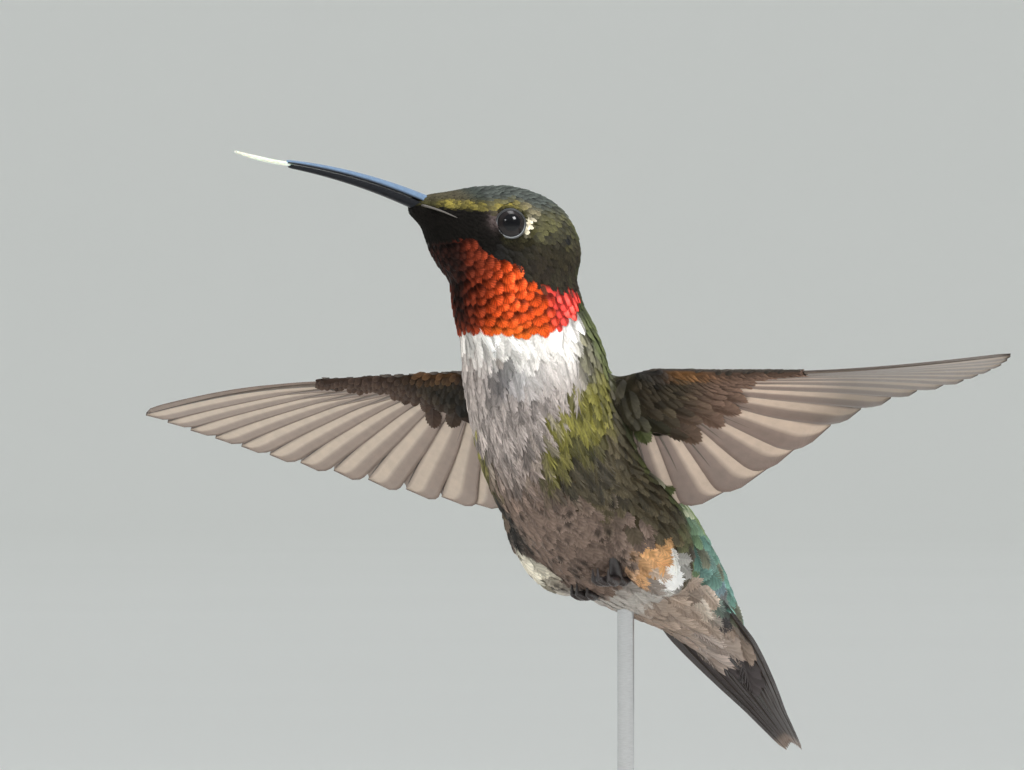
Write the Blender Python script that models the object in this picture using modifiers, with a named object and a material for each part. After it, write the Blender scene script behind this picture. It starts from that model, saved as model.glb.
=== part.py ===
"""Ruby-throated hummingbird, adult male, hovering, life size, on a plain display stand.

Run with: blender --background --python part.py, or from Blender's text editor.

Frame: metres, +Z up. The origin is the centre of the stand's underside. The bird faces -Y, and
its left side is at +X. Sizes of the bird are written in millimetres and turned into metres by MM.
Places on the bird are (left, forward, up) from the middle of its trunk, which hovers HOVER_MM
above the surface that the stand is on, and TRUNK_AHEAD_MM in front of the stand's rod.

The flesh is modelled whole, from soft forms melted together, and parted by thin cuts into head,
neck and trunk. Wings and tail are thin cambered blades whose edges follow the feather tips.
"""

import math

import bmesh
import bpy
from mathutils import Matrix, Vector

MM = 0.001
HOVER_MM = 44.0
TRUNK_AHEAD_MM = 9.5
GAP_MM = 0.3

# Head pose, in degrees: turned to the bird's right, and how far its long axis rises.
HEAD_YAW = 22.0
HEAD_PITCH = 6.0
HEAD_CENTRE = (0.0, 8.1, 20.8)
# The head along its long axis: forward, up, half-width, half-depth.
HEAD_STATIONS = [
    (-6.7, -0.1, 1.4, 1.4),
    (-5.6, -0.1, 3.3, 3.3),
    (-3.3, 0.0, 4.9, 5.1),
    (0.0, 0.3, 5.4, 5.7),
    (3.2, 0.85, 5.0, 5.35),
    (6.2, 1.8, 3.75, 4.0),
    (8.6, 2.65, 2.25, 2.15),
    (10.4, 2.95, 1.3, 1.2),
]
# Neck and trunk along the spine, from inside the head to inside the tail: forward, up, half-width,
# half-depth.
SPINE_STATIONS = [
    (8.2, 20.8, 5.2, 6.2),
    (7.8, 17.2, 5.6, 6.5),
    (6.1, 13.2, 5.9, 6.6),
    (4.7, 10.0, 6.6, 7.1),
    (3.4, 6.2, 6.8, 6.9),
    (1.0, 1.6, 7.1, 7.1),
    (-2.6, -2.0, 7.2, 7.0),
    (-6.4, -4.6, 7.0, 6.8),
    (-10.4, -6.9, 6.7, 6.4),
    (-14.1, -8.9, 6.0, 5.5),
    (-17.5, -11.0, 5.2, 4.3),
    (-20.6, -13.2, 4.3, 3.1),
    (-23.3, -15.5, 3.5, 2.0),
    (-24.8, -16.8, 2.3, 1.2),
]
# The loose tufts at the sides of the rump: place, pitch, half-length, half-width, half-depth.
FLANK_TUFT = ((5.8, -5.2, -5.5), 45.0, 7.6, 3.0, 4.6)
# How finely the flesh is melted and softened, and the share of its triangles that is kept.
FLESH_VOXEL_MM = 0.4
FLESH_SOFTENING = 18
FLESH_KEPT = 0.054
# The cuts between head, neck and trunk: a place in each, and how steeply the body rises there.
NECK_TOP = ((0.0, 6.4, 15.4), 72.0)
NECK_FOOT = ((0.0, 3.6, 10.2), 66.0)

# The bill: where its core leaves the face, and its length and thickness.
BILL_ROOT = (8.0, 2.8)
BILL_RISE = 15.0
BILL_LENGTH = 17.5
BILL_ROOT_RADIUS = 0.92
BILL_TIP_RADIUS = 0.34
BILL_ARCH = 0.6
# How far inside its root the bill's socket starts, and the share of the bill that it clears.
BILL_SOCKET = (0.02, 0.48)
LOWER_BILL_REACH = 0.98
TONGUE_LENGTH = 5.0
TONGUE_RADIUS = 0.27
TONGUE_LIFT = 0.35

# The eye: its ball's radius, and its place from the head's centre.
EYE_RADIUS = 1.7
EYE_PLACE = (3.8, 2.7, 2.15)

# The tail: where its feathers root, how steeply it drops, its length, thickness and fork.
TAIL_ROOT = (0.0, -14.4, -8.6)
TAIL_DROP = 40.0
TAIL_LENGTH = 27.5
TAIL_THICKNESS = 0.6
TAIL_FORK = 0.8
TAIL_ARCH = 0.9
# Half its width at its root, how much it swells, and how much it narrows to its tip.
TAIL_HALF_WIDTH = 3.9
TAIL_SWELL = 0.7
TAIL_TAPER = 6.3

# The wings: the shoulder joint, the blade's thickness, and how each wing is held.
SHOULDER = (5.2, -0.7, 9.6)
WING_THICKNESS = 0.5
WING_SPAN = 45.0
# The wing's camber, the chord that it spans, and how far its outer feathers bow forwards.
WING_CAMBER = 0.9
CAMBER_CHORD = 14.0
FEATHER_BOW = 2.0
# How deep the notches between feather tips are, as a share of the feathers' length.
TIP_NOTCH = 0.055
# side: (sign, sweep back, dihedral, pitch at the root, pitch at the tip), angles in degrees, then
# how fast the pitch fades along the wing, and the tip's upward bend.
WINGS = {
    "left": (1, -2.0, -1.6, 82.0, 7.0, 4.6, 3.0),
    "right": (-1, -9.0, -2.4, 60.0, 30.0, 1.2, 0.0),
}
# Feather tips and feather roots round the wing, as (out along the wing, back from its front edge).
FEATHER_TIPS = [(45.0, 4.6), (40.5, 8.4), (34.0, 11.4), (25.0, 13.4), (14.5, 15.2), (6.5, 15.5), (0.5, 12.5)]
FEATHER_ROOTS = [(15.5, 1.1), (13.4, 1.1), (11.0, 1.1), (8.5, 1.6), (6.0, 2.3), (3.5, 3.0), (0.0, 3.6)]
PRIMARIES = 10
SECONDARIES = 6
# The gap between the two blades of a wing, as a share of one feather's width.
BLADE_GAP = 0.22
# The wing's fleshy front and its small feathers: out, front edge, chord, thickness.
ARM_STATIONS = [
    (-2.0, 0.8, 3.6, 2.6),
    (1.5, 0.2, 6.4, 3.0),
    (5.0, -0.3, 8.2, 2.6),
    (8.5, -0.4, 7.2, 2.0),
    (12.0, -0.4, 5.2, 1.5),
    (16.0, -0.4, 3.0, 1.1),
    (23.0, -0.4, 1.4, 0.8),
]

# Each foot: the bird's side that it is on, 1 for the left, its ankle and its knuckle.
FEET = {
    "foot_left": (1, (4.5, -1.9, -7.2), (4.1, -2.8, -10.0)),
    "foot_right": (-1, (-1.6, -5.0, -9.0), (-1.2, -6.4, -11.4)),
}
# Each toe: its spread away from the body's middle, its reach forwards, and its curl.
TOES = [(-0.9, 2.3, 1.5), (0.0, 2.7, 1.6), (0.9, 2.3, 1.5), (0.2, -1.5, 1.2)]
ANKLE_RADIUS = 0.42
KNUCKLE_RADIUS = 0.5
TOE_RADII = (0.33, 0.27, 0.25)

BASE_RADIUS = 28.0
BASE_HEIGHT = 6.0
BASE_RIM = 1.8
BASE_FOOT_BEVEL = 0.6
ROD_RADIUS = 0.8
ROD_REACH_MM = 38.0

COLOURS = {
    "plumage_green": ((0.13, 0.17, 0.05), 0.45, 0.3),
    "plumage_grey": ((0.42, 0.38, 0.33), 0.8, 0.0),
    "gorget_red": ((0.75, 0.10, 0.03), 0.35, 0.4),
    "flight_feather": ((0.20, 0.16, 0.14), 0.55, 0.0),
    "bill_black": ((0.02, 0.02, 0.025), 0.35, 0.0),
    "tongue_pale": ((0.85, 0.86, 0.75), 0.3, 0.0),
    "eye_black": ((0.005, 0.005, 0.006), 0.05, 0.0),
    "foot_black": ((0.03, 0.025, 0.025), 0.6, 0.0),
    "stand_wood": ((0.16, 0.09, 0.05), 0.5, 0.0),
    "stand_steel": ((0.55, 0.55, 0.56), 0.3, 1.0),
}


def clear_scene():
    for obj in list(bpy.data.objects):
        bpy.data.objects.remove(obj, do_unlink=True)


def collection(name):
    made = bpy.data.collections.new(name)
    bpy.context.scene.collection.children.link(made)
    return made


def material(slot):
    colour, roughness, metallic = COLOURS[slot]
    made = bpy.data.materials.get(slot)
    if made is None:
        made = bpy.data.materials.new(slot)
        made.use_nodes = True
        shader = made.node_tree.nodes["Principled BSDF"]
        shader.inputs["Base Color"].default_value = (*colour, 1.0)
        shader.inputs["Roughness"].default_value = roughness
        shader.inputs["Metallic"].default_value = metallic
    return made


def body_place(left, forward, up):
    """A place on the bird, in the frame's metres."""
    return Vector((left, -forward - TRUNK_AHEAD_MM, up + HOVER_MM)) * MM


def turned(forward_pitch, yaw_right=0.0):
    """Rotation whose local +Y is forward pitched up by the first angle, and turned to the bird's right."""
    face = Matrix.Rotation(math.pi - math.radians(yaw_right), 4, "Z")
    return face @ Matrix.Rotation(math.radians(forward_pitch), 4, "X")


HEAD = (
    Matrix.Translation(body_place(*HEAD_CENTRE))
    @ turned(HEAD_PITCH, HEAD_YAW)
)


def head_place(left, forward, up):
    """A place on the head, in the frame's metres. Local +Y is forward, so the head's left is local -X."""
    return HEAD @ (Vector((-left, forward, up)) * MM)


def smooth_line(points, share):
    """The point at share 0 to 1 along a smooth curve through these points, evenly spread in share."""
    last = len(points) - 1
    place = min(max(share, 0.0), 1.0) * last
    i = min(int(place), last - 1)
    t = place - i
    p1, p2 = Vector(points[i]), Vector(points[i + 1])
    p0 = Vector(points[i - 1]) if i else 2 * p1 - p2
    p3 = Vector(points[i + 2]) if i + 2 <= last else 2 * p2 - p1
    return 0.5 * (
        2 * p1 + (p2 - p0) * t + (2 * p0 - 5 * p1 + 4 * p2 - p3) * t**2 + (3 * p1 - p0 - 3 * p2 + p3) * t**3
    )


# ---------------------------------------------------------------- making objects


def link(obj, home, slot=None):
    for old in list(obj.users_collection):
        old.objects.unlink(obj)
    home.objects.link(obj)
    if slot:
        obj.data.materials.clear()
        obj.data.materials.append(material(slot))
    return obj


def from_bmesh(name, work, home, slot=None):
    mesh = bpy.data.meshes.new(name)
    work.to_mesh(mesh)
    work.free()
    return link(bpy.data.objects.new(name, mesh), home, slot)


def as_mesh(obj):
    """The object's evaluated shape as a plain mesh object in world space, in place of the object."""
    bpy.context.view_layer.update()
    graph = bpy.context.evaluated_depsgraph_get()
    mesh = bpy.data.meshes.new_from_object(obj.evaluated_get(graph))
    mesh.transform(obj.matrix_world)
    name, home = obj.name, obj.users_collection[0]
    bpy.data.objects.remove(obj, do_unlink=True)
    work = bmesh.new()
    work.from_mesh(mesh)
    bmesh.ops.remove_doubles(work, verts=work.verts, dist=1e-6)
    bmesh.ops.recalc_face_normals(work, faces=work.faces)
    work.to_mesh(mesh)
    work.free()
    mesh.name = name
    made = bpy.data.objects.new(name, mesh)
    home.objects.link(made)
    return made


def shade(obj, angle=40.0):
    obj.data.shade_smooth()
    obj.data.set_sharp_from_angle(angle=math.radians(angle))


def as_cutter(obj):
    obj.hide_render = True
    obj.display_type = "WIRE"
    return obj


def subtract(obj, cutter):
    cut = obj.modifiers.new("cut_" + cutter.name, "BOOLEAN")
    cut.operation = "DIFFERENCE"
    cut.solver = "MANIFOLD"
    cut.object = cutter


def inflated(obj, grow_mm, home):
    """A cutter that is the object grown outwards."""
    mesh = obj.data.copy()
    made = link(bpy.data.objects.new(obj.name + "_grown", mesh), home)
    grow = made.modifiers.new("grow", "DISPLACE")
    grow.strength = grow_mm * MM
    grow.mid_level = 0.0
    return as_cutter(as_mesh(made))


# ---------------------------------------------------------------- flesh


def add_blob(work, place, axis, half_length, half_width, half_depth):
    """An ellipsoid added to the mesh. axis is the rotation whose local +Y is its long way."""
    size = Matrix.Diagonal((half_width, half_length, half_depth, 1.0 / MM)) * MM
    bmesh.ops.create_icosphere(
        work, subdivisions=4, radius=1.0, matrix=Matrix.Translation(place) @ axis @ size
    )


def add_loft(work, stations, between, place_of):
    """A tube through oval sections (forward, up, half-width, half-depth) in a plane of symmetry."""
    segments = 28
    steps = (len(stations) - 1) * between
    lines = [(forward, up, 0.0) for forward, up, _, _ in stations]
    sizes = [(width, depth, 0.0) for _, _, width, depth in stations]
    rings = []
    for i in range(steps + 1):
        share = i / steps
        middle = smooth_line(lines, share)
        width, depth, _ = smooth_line(sizes, share)
        along = smooth_line(lines, share + 0.01) - smooth_line(lines, share - 0.01)
        along.normalize()
        ring = []
        for j in range(segments):
            turn = 2 * math.pi * j / segments
            side, over = width * math.cos(turn), depth * math.sin(turn)
            ring.append(work.verts.new(place_of(side, middle.x - along.y * over, middle.y + along.x * over)))
        rings.append(ring)
    for near, far in zip(rings, rings[1:]):
        for j in range(segments):
            work.faces.new((near[j - 1], near[j], far[j], far[j - 1]))
    for ring in (rings[0], rings[-1]):
        work.faces.new(ring)


def flesh(home):
    """Head, neck and trunk as one soft form."""
    work = bmesh.new()
    add_loft(work, SPINE_STATIONS, 3, body_place)
    add_loft(work, HEAD_STATIONS, 3, head_place)
    (left, forward, up), pitch, half_length, half_width, half_depth = FLANK_TUFT
    for side in (1, -1):
        place = body_place(side * left, forward, up)
        add_blob(work, place, turned(pitch), half_length, half_width, half_depth)
    bmesh.ops.recalc_face_normals(work, faces=work.faces)
    obj = from_bmesh("flesh", work, home)
    melt = obj.modifiers.new("melt", "REMESH")
    melt.mode = "VOXEL"
    melt.voxel_size = FLESH_VOXEL_MM * MM
    soften = obj.modifiers.new("soften", "SMOOTH")
    soften.factor = 0.5
    soften.iterations = FLESH_SOFTENING
    lighten = obj.modifiers.new("lighten", "DECIMATE")
    lighten.ratio = FLESH_KEPT
    return as_mesh(obj)


def slice_between(source, name, home, slot, above=None, below=None):
    """The part of the flesh between two cutting planes, each a (point, normal), with its cuts closed."""
    work = bmesh.new()
    work.from_mesh(source.data)
    for plane, keep_up in ((above, True), (below, False)):
        if plane is None:
            continue
        point, normal = plane
        shift = normal * (GAP_MM / 2 * MM) * (1 if keep_up else -1)
        everything = list(work.verts) + list(work.edges) + list(work.faces)
        cut = bmesh.ops.bisect_plane(
            work,
            geom=everything,
            plane_co=point + shift,
            plane_no=normal,
            clear_inner=keep_up,
            clear_outer=not keep_up,
            dist=1e-8,
        )
        edges = [e for e in cut["geom_cut"] if isinstance(e, bmesh.types.BMEdge)]
        bmesh.ops.edgenet_fill(work, edges=edges)
        bmesh.ops.triangulate(work, faces=[f for f in work.faces if len(f.verts) > 4])
    bmesh.ops.recalc_face_normals(work, faces=work.faces)
    made = from_bmesh(name, work, home, slot)
    shade(made)
    return made


# ---------------------------------------------------------------- bill, tongue and eyes


def bill_line(share):
    """The middle of the bill at share 0 to 1 of its length, in the head's own millimetres."""
    rise = math.radians(BILL_RISE - HEAD_PITCH)
    along = BILL_LENGTH * share
    arch = BILL_ARCH * (4 * share * (1 - share))
    forward = BILL_ROOT[0] + along * math.cos(rise) - arch * math.sin(rise)
    up = BILL_ROOT[1] + along * math.sin(rise) + arch * math.cos(rise)
    return forward, up


def bill_radius(share):
    return BILL_TIP_RADIUS + (BILL_ROOT_RADIUS - BILL_TIP_RADIUS) * (1 - share) ** 0.85


def half_round(name, home, side):
    """A D-shaped outline for half a bill: side 1 is the upper half, -1 the lower."""
    curve = bpy.data.curves.new(name, "CURVE")
    curve.dimensions = "2D"
    spline = curve.splines.new("POLY")
    steps = 8
    flat = GAP_MM / 2
    points = []
    for i in range(steps + 1):
        turn = math.pi * i / steps
        points.append((math.cos(turn), flat + (1 - flat) * math.sin(turn)))
    spline.points.add(len(points) - 1)
    for point, (x, y) in zip(spline.points, points):
        point.co = (x, side * y, 0.0, 1.0)
    spline.use_cyclic_u = True
    made = link(bpy.data.objects.new(name, curve), home)
    made.scale = (MM, MM, MM)
    return as_cutter(made)


def rail(name, home, points, radii):
    """A curve through these frame points, with a radius at each, ready for a bevel."""
    curve = bpy.data.curves.new(name, "CURVE")
    curve.dimensions = "3D"
    curve.twist_mode = "Z_UP"
    curve.use_fill_caps = True
    spline = curve.splines.new("POLY")
    spline.points.add(len(points) - 1)
    for point, place, radius in zip(spline.points, points, radii):
        point.co = (*place, 1.0)
        point.radius = radius
    return link(bpy.data.objects.new(name, curve), home)


def tapered_tube(name, home, slot, points, radii_mm, resolution=2):
    made = rail(name, home, points, radii_mm)
    made.data.bevel_depth = MM
    made.data.bevel_resolution = resolution
    made = as_mesh(made)
    made.data.materials.append(material(slot))
    return made


def bill_half(name, home, helpers, side, reach):
    """One mandible. reach is the share of the bill's length that it covers."""
    steps = 12
    shares = [reach * i / steps for i in range(steps + 1)]
    points = [head_place(0.0, *bill_line(share)) for share in shares]
    made = rail(name, home, points, [bill_radius(share) for share in shares])
    made.data.bevel_mode = "OBJECT"
    made.data.bevel_object = half_round(name + "_outline", helpers, side)
    made = as_mesh(made)
    made.data.materials.append(material("bill_black"))
    shade(made)
    return made


def tongue(home):
    """The pale tongue, which shows past the bill's tip and lifts a little at its end."""
    steps = 6
    start_forward, start_up = bill_line(1.0)
    near_forward, near_up = bill_line(0.9)
    along = Vector((start_forward - near_forward, start_up - near_up)).normalized()
    points = []
    for i in range(steps + 1):
        share = i / steps
        reach = GAP_MM + TONGUE_LENGTH * share
        lift = TONGUE_LIFT * share * share
        points.append(
            head_place(0.0, start_forward + along.x * reach, start_up + along.y * reach + lift)
        )
    return tapered_tube("tongue", home, "tongue_pale", points, [TONGUE_RADIUS] * len(points))


def eyeball(name, home, side, radius_mm):
    work = bmesh.new()
    left, forward, up = EYE_PLACE
    place = Matrix.Translation(head_place(side * left, forward, up))
    bmesh.ops.create_icosphere(work, subdivisions=3, radius=radius_mm * MM, matrix=place)
    made = from_bmesh(name, work, home, "eye_black")
    shade(made)
    return made


# ---------------------------------------------------------------- wings


def wing_frame(side):
    """Shoulder, direction out along the wing, its pitch at a share of the span, and the tip's bend."""
    sign, sweep, dihedral, root_pitch, tip_pitch, fade, tip_bend = WINGS[side]
    shoulder = body_place(sign * SHOULDER[0], SHOULDER[1], SHOULDER[2])
    sweep, dihedral = math.radians(sweep), math.radians(dihedral)
    out = Vector(
        (
            sign * math.cos(sweep) * math.cos(dihedral),
            math.sin(sweep) * math.cos(dihedral),
            math.sin(dihedral),
        )
    )

    def pitch(share):
        return math.radians(tip_pitch + (root_pitch - tip_pitch) * (1 - share) ** fade)

    return shoulder, out, pitch, tip_bend


def wing_point(side, out_mm, back_mm):
    """A point of the wing's middle surface: pitched, twisted and cambered."""
    shoulder, out, pitch, tip_bend = wing_frame(side)
    share = min(max(out_mm / WING_SPAN, 0.0), 1.0)
    angle = pitch(share)
    back = Vector((0.0, math.cos(angle), -math.sin(angle)))
    back = (back - out * back.dot(out)).normalized()
    over = Vector((0.0, math.sin(angle), math.cos(angle)))
    over = (over - out * over.dot(out)).normalized()
    camber = WING_CAMBER * math.sin(math.pi * min(max(back_mm / CAMBER_CHORD, 0.0), 1.0)) * (1 - 0.5 * share)
    bend = Vector((0.0, 0.0, tip_bend * share**3))
    return shoulder + (out * out_mm + back * back_mm + over * camber + bend) * MM


def feather_place(across, along):
    """(out, back) on the wing at across 0, the outermost feather, to 1, and along 0, root, to 1, tip."""
    root = smooth_line(FEATHER_ROOTS, across)
    tip = smooth_line(FEATHER_TIPS, across)
    place = root.lerp(tip, along)
    bow = FEATHER_BOW * math.sin(math.pi * along) * (1 - across) ** 1.5
    return place.x, place.y - bow


def wing_blade(name, side, home, first, last, per_feather=3, rows=4):
    """The flight feathers from number first to last, as one thin blade with a notched edge."""
    feathers = PRIMARIES + SECONDARIES
    columns = round(last - first) * per_feather
    work = bmesh.new()
    bmesh.ops.create_grid(work, x_segments=columns, y_segments=rows, size=0.5)
    work.verts.ensure_lookup_table()
    for vert in work.verts:
        step = first + (vert.co.x + 0.5) * (last - first)
        part = step - math.floor(step + 1e-6)
        notch = TIP_NOTCH * (2 * abs(part - 0.5)) ** 3
        along = (vert.co.y + 0.5) * (1 - notch)
        vert.co = wing_point(side, *feather_place(step / feathers, along))
    bmesh.ops.recalc_face_normals(work, faces=work.faces)
    made = from_bmesh(name, work, home, "flight_feather")
    thicken = made.modifiers.new("thicken", "SOLIDIFY")
    thicken.thickness = WING_THICKNESS * MM
    thicken.offset = 0.0
    return made


def wing_arm(name, side, home):
    """The wing's fleshy front edge with its small covering feathers, from shoulder to wing tip."""
    segments = 12
    work = bmesh.new()
    rings = []
    for out_mm, front, chord, thick in ARM_STATIONS:
        ring = []
        for i in range(segments):
            turn = 2 * math.pi * i / segments
            back = front + chord * (1 - math.cos(turn)) / 2
            middle = wing_point(side, out_mm, back)
            behind = wing_point(side, out_mm, back + 0.1) - middle
            outward = wing_point(side, out_mm + 0.1, back) - middle
            normal = outward.cross(behind).normalized()
            ring.append(work.verts.new(middle + normal * (thick / 2 * math.sin(turn)) * MM))
        rings.append(ring)
    edges = []
    for ring in rings:
        edges.append([work.edges.new((ring[i], ring[i - 1])) for i in range(segments)])
    for near, far in zip(edges, edges[1:]):
        bmesh.ops.bridge_loops(work, edges=near + far)
    for ring in (rings[0], rings[-1]):
        work.faces.new(ring)
    bmesh.ops.recalc_face_normals(work, faces=work.faces)
    made = as_mesh(from_bmesh(name, work, home, "plumage_green"))
    shade(made, 60.0)
    return made


# ---------------------------------------------------------------- tail and feet


def tail_half_width(share):
    """Half the closed tail's width at a share of its length."""
    swell = TAIL_SWELL * math.sin(math.pi * min(share / 0.8, 1.0))
    return TAIL_HALF_WIDTH + swell - TAIL_TAPER * max(share - 0.4, 0.0) ** 1.2


def tail_point(across, share):
    """A point of the tail's middle surface. across is -1 at the bird's right edge and 1 at its left."""
    drop = math.radians(TAIL_DROP)
    fork = TAIL_FORK * (1 - abs(across)) * max(share - 0.75, 0.0) / 0.25
    along = TAIL_LENGTH * share - fork
    left = across * tail_half_width(share)
    arch = TAIL_ARCH * (1 - across * across)
    forward = TAIL_ROOT[1] - along * math.cos(drop) - arch * math.sin(drop)
    up = TAIL_ROOT[2] - along * math.sin(drop) + arch * math.cos(drop)
    return body_place(left, forward, up)


def tail(home):
    """The closed, slightly forked tail as one arched blade."""
    work = bmesh.new()
    bmesh.ops.create_grid(work, x_segments=8, y_segments=12, size=0.5)
    for vert in work.verts:
        vert.co = tail_point(vert.co.x * 2, vert.co.y + 0.5)
    bmesh.ops.recalc_face_normals(work, faces=work.faces)
    made = from_bmesh("tail", work, home, "flight_feather")
    thicken = made.modifiers.new("thicken", "SOLIDIFY")
    thicken.thickness = TAIL_THICKNESS * MM
    thicken.offset = 0.0
    return made


def foot(name, side, home, ankle, knuckle):
    """A tucked foot: the shank, and four curled toes with claws. Places are (left, forward, up)."""
    work = bmesh.new()
    skin = work.verts.layers.skin.verify()

    def joint(place, radius):
        vert = work.verts.new(body_place(*place))
        vert[skin].radius = (radius * MM, radius * MM)
        return vert

    top = joint(ankle, ANKLE_RADIUS)
    middle = joint(knuckle, KNUCKLE_RADIUS)
    work.edges.new((top, middle))
    for spread, reach, curl in TOES:
        left, forward, up = knuckle
        spread *= side
        bent = joint((left + spread * 0.8, forward + reach * 0.55, up - 0.35), TOE_RADII[0])
        end = joint((left + spread, forward + reach, up + curl * 0.1 - 0.3), TOE_RADII[1])
        claw = joint((left + spread * 1.02, forward + reach * 1.08, up + curl * 0.7 - 0.2), TOE_RADII[2])
        work.edges.new((middle, bent))
        work.edges.new((bent, end))
        work.edges.new((end, claw))
    top[skin].use_root = True
    made = from_bmesh(name, work, home, "foot_black")
    made.modifiers.new("skin", "SKIN")
    melt = made.modifiers.new("melt", "REMESH")
    melt.mode = "VOXEL"
    melt.voxel_size = 0.14 * MM
    lighten = made.modifiers.new("lighten", "DECIMATE")
    lighten.ratio = 0.1
    return as_mesh(made)


# ---------------------------------------------------------------- stand


def stand_base(home):
    """A plain turned disc with a softened upper rim."""
    profile = [(0.0, 0.0), (BASE_RADIUS - BASE_FOOT_BEVEL, 0.0), (BASE_RADIUS, BASE_FOOT_BEVEL)]
    for i in range(5):
        turn = math.pi / 2 * i / 4
        across = BASE_RADIUS - BASE_RIM + BASE_RIM * math.cos(turn)
        profile.append((across, BASE_HEIGHT - BASE_RIM + BASE_RIM * math.sin(turn)))
    profile.append((0.0, BASE_HEIGHT))
    work = bmesh.new()
    verts = [work.verts.new(Vector((x, 0.0, z)) * MM) for x, z in reversed(profile)]
    for a, b in zip(verts, verts[1:]):
        work.edges.new((a, b))
    made = from_bmesh("stand_base", work, home, "stand_wood")
    turn = made.modifiers.new("turn", "SCREW")
    turn.steps = 40
    turn.render_steps = 40
    turn.use_merge_vertices = True
    turn.merge_threshold = 1e-6
    return made


def stand_rod(home):
    """The rod, from just above the base up into the place that the trunk's cutter clears."""
    low = BASE_HEIGHT + GAP_MM
    work = bmesh.new()
    bmesh.ops.create_cone(
        work,
        cap_ends=True,
        segments=20,
        radius1=ROD_RADIUS * MM,
        radius2=ROD_RADIUS * MM,
        depth=(ROD_REACH_MM - low) * MM,
        matrix=Matrix.Translation((0.0, 0.0, (low + ROD_REACH_MM) / 2 * MM)),
    )
    return from_bmesh("stand_rod", work, home, "stand_steel")


def main():
    clear_scene()
    bird = collection("hummingbird")
    helpers = collection("cutters")

    whole = flesh(helpers)
    as_cutter(whole)
    neck_top, neck_foot = (
        (body_place(*place), turned(rise).to_3x3() @ Vector((0, 1, 0)))
        for place, rise in (NECK_TOP, NECK_FOOT)
    )
    head = slice_between(whole, "head", bird, "plumage_green", above=neck_top)
    slice_between(whole, "neck", bird, "gorget_red", above=neck_foot, below=neck_top)
    slice_between(whole, "trunk", bird, "plumage_grey", below=neck_foot)
    body_cutter = inflated(whole, GAP_MM, helpers)

    for name, side in (("eye_left", 1), ("eye_right", -1)):
        eyeball(name, bird, side, EYE_RADIUS)
        socket = as_cutter(eyeball(name + "_socket", helpers, side, EYE_RADIUS + GAP_MM))
        subtract(head, socket)
    bill_half("bill_upper", bird, helpers, 1, 1.0)
    bill_half("bill_lower", bird, helpers, -1, LOWER_BILL_REACH)
    inside, cleared = BILL_SOCKET
    shares = [-inside + (cleared + inside) * i / 6 for i in range(7)]
    socket = tapered_tube(
        "bill_socket",
        helpers,
        "bill_black",
        [head_place(0.0, *bill_line(share)) for share in shares],
        [bill_radius(max(share, 0.0)) + GAP_MM for share in shares],
        resolution=4,
    )
    subtract(head, as_cutter(socket))
    tongue(bird)

    for side in WINGS:
        arm = wing_arm(f"wing_{side}_arm", side, bird)
        subtract(arm, body_cutter)
        arm_cutter = inflated(arm, GAP_MM, helpers)
        for part, first, last in (
            ("primaries", 0, PRIMARIES),
            ("secondaries", PRIMARIES + BLADE_GAP, PRIMARIES + SECONDARIES),
        ):
            blade = wing_blade(f"wing_{side}_{part}", side, bird, first, last)
            subtract(blade, arm_cutter)
            subtract(blade, body_cutter)

    subtract(tail(bird), body_cutter)
    for name, (side, ankle, knuckle) in FEET.items():
        subtract(foot(name, side, bird, ankle, knuckle), body_cutter)

    stand_base(bird)
    subtract(stand_rod(bird), body_cutter)


main()
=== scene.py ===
"""Looks of the hovering ruby-throated hummingbird: skin, coat, flight feathers, bill, eyes, feet and stand.

Everything is made in millimetres, in the frame of the CAD part, and turned into metres by MM when its
mesh is made. Places on the bird are (left, forward, up) from the middle of its trunk, and places on
the head are the same from the head's centre, along the head's own axes.
"""

import math
from collections import namedtuple

import bmesh
import bpy
import numpy as np
from mathutils import Matrix, Vector
from mathutils.bvhtree import BVHTree
from mathutils.kdtree import KDTree


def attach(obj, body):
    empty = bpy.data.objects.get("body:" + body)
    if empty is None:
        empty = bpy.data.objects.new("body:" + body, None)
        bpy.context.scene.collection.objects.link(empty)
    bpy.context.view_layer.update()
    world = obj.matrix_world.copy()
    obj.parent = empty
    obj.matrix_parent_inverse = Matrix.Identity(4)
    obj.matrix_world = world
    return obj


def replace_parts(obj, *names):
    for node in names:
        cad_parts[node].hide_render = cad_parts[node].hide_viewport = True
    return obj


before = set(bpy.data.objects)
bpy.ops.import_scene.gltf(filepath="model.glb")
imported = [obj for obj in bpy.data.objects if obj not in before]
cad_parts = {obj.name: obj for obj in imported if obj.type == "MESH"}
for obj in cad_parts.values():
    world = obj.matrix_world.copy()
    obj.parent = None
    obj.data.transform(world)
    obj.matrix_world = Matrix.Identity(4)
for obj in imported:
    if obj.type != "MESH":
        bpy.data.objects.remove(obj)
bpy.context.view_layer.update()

MM = 0.001
UPWARD = (0.0, 0.0, 1.0)
random = np.random.default_rng(11)

# ---------------------------------------------------------------- the part's sizes, as in its CAD

HOVER_MM = 44.0
TRUNK_AHEAD_MM = 9.5
HEAD_YAW = 22.0
HEAD_PITCH = 6.0
HEAD_CENTRE = (0.0, 8.1, 20.8)
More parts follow.
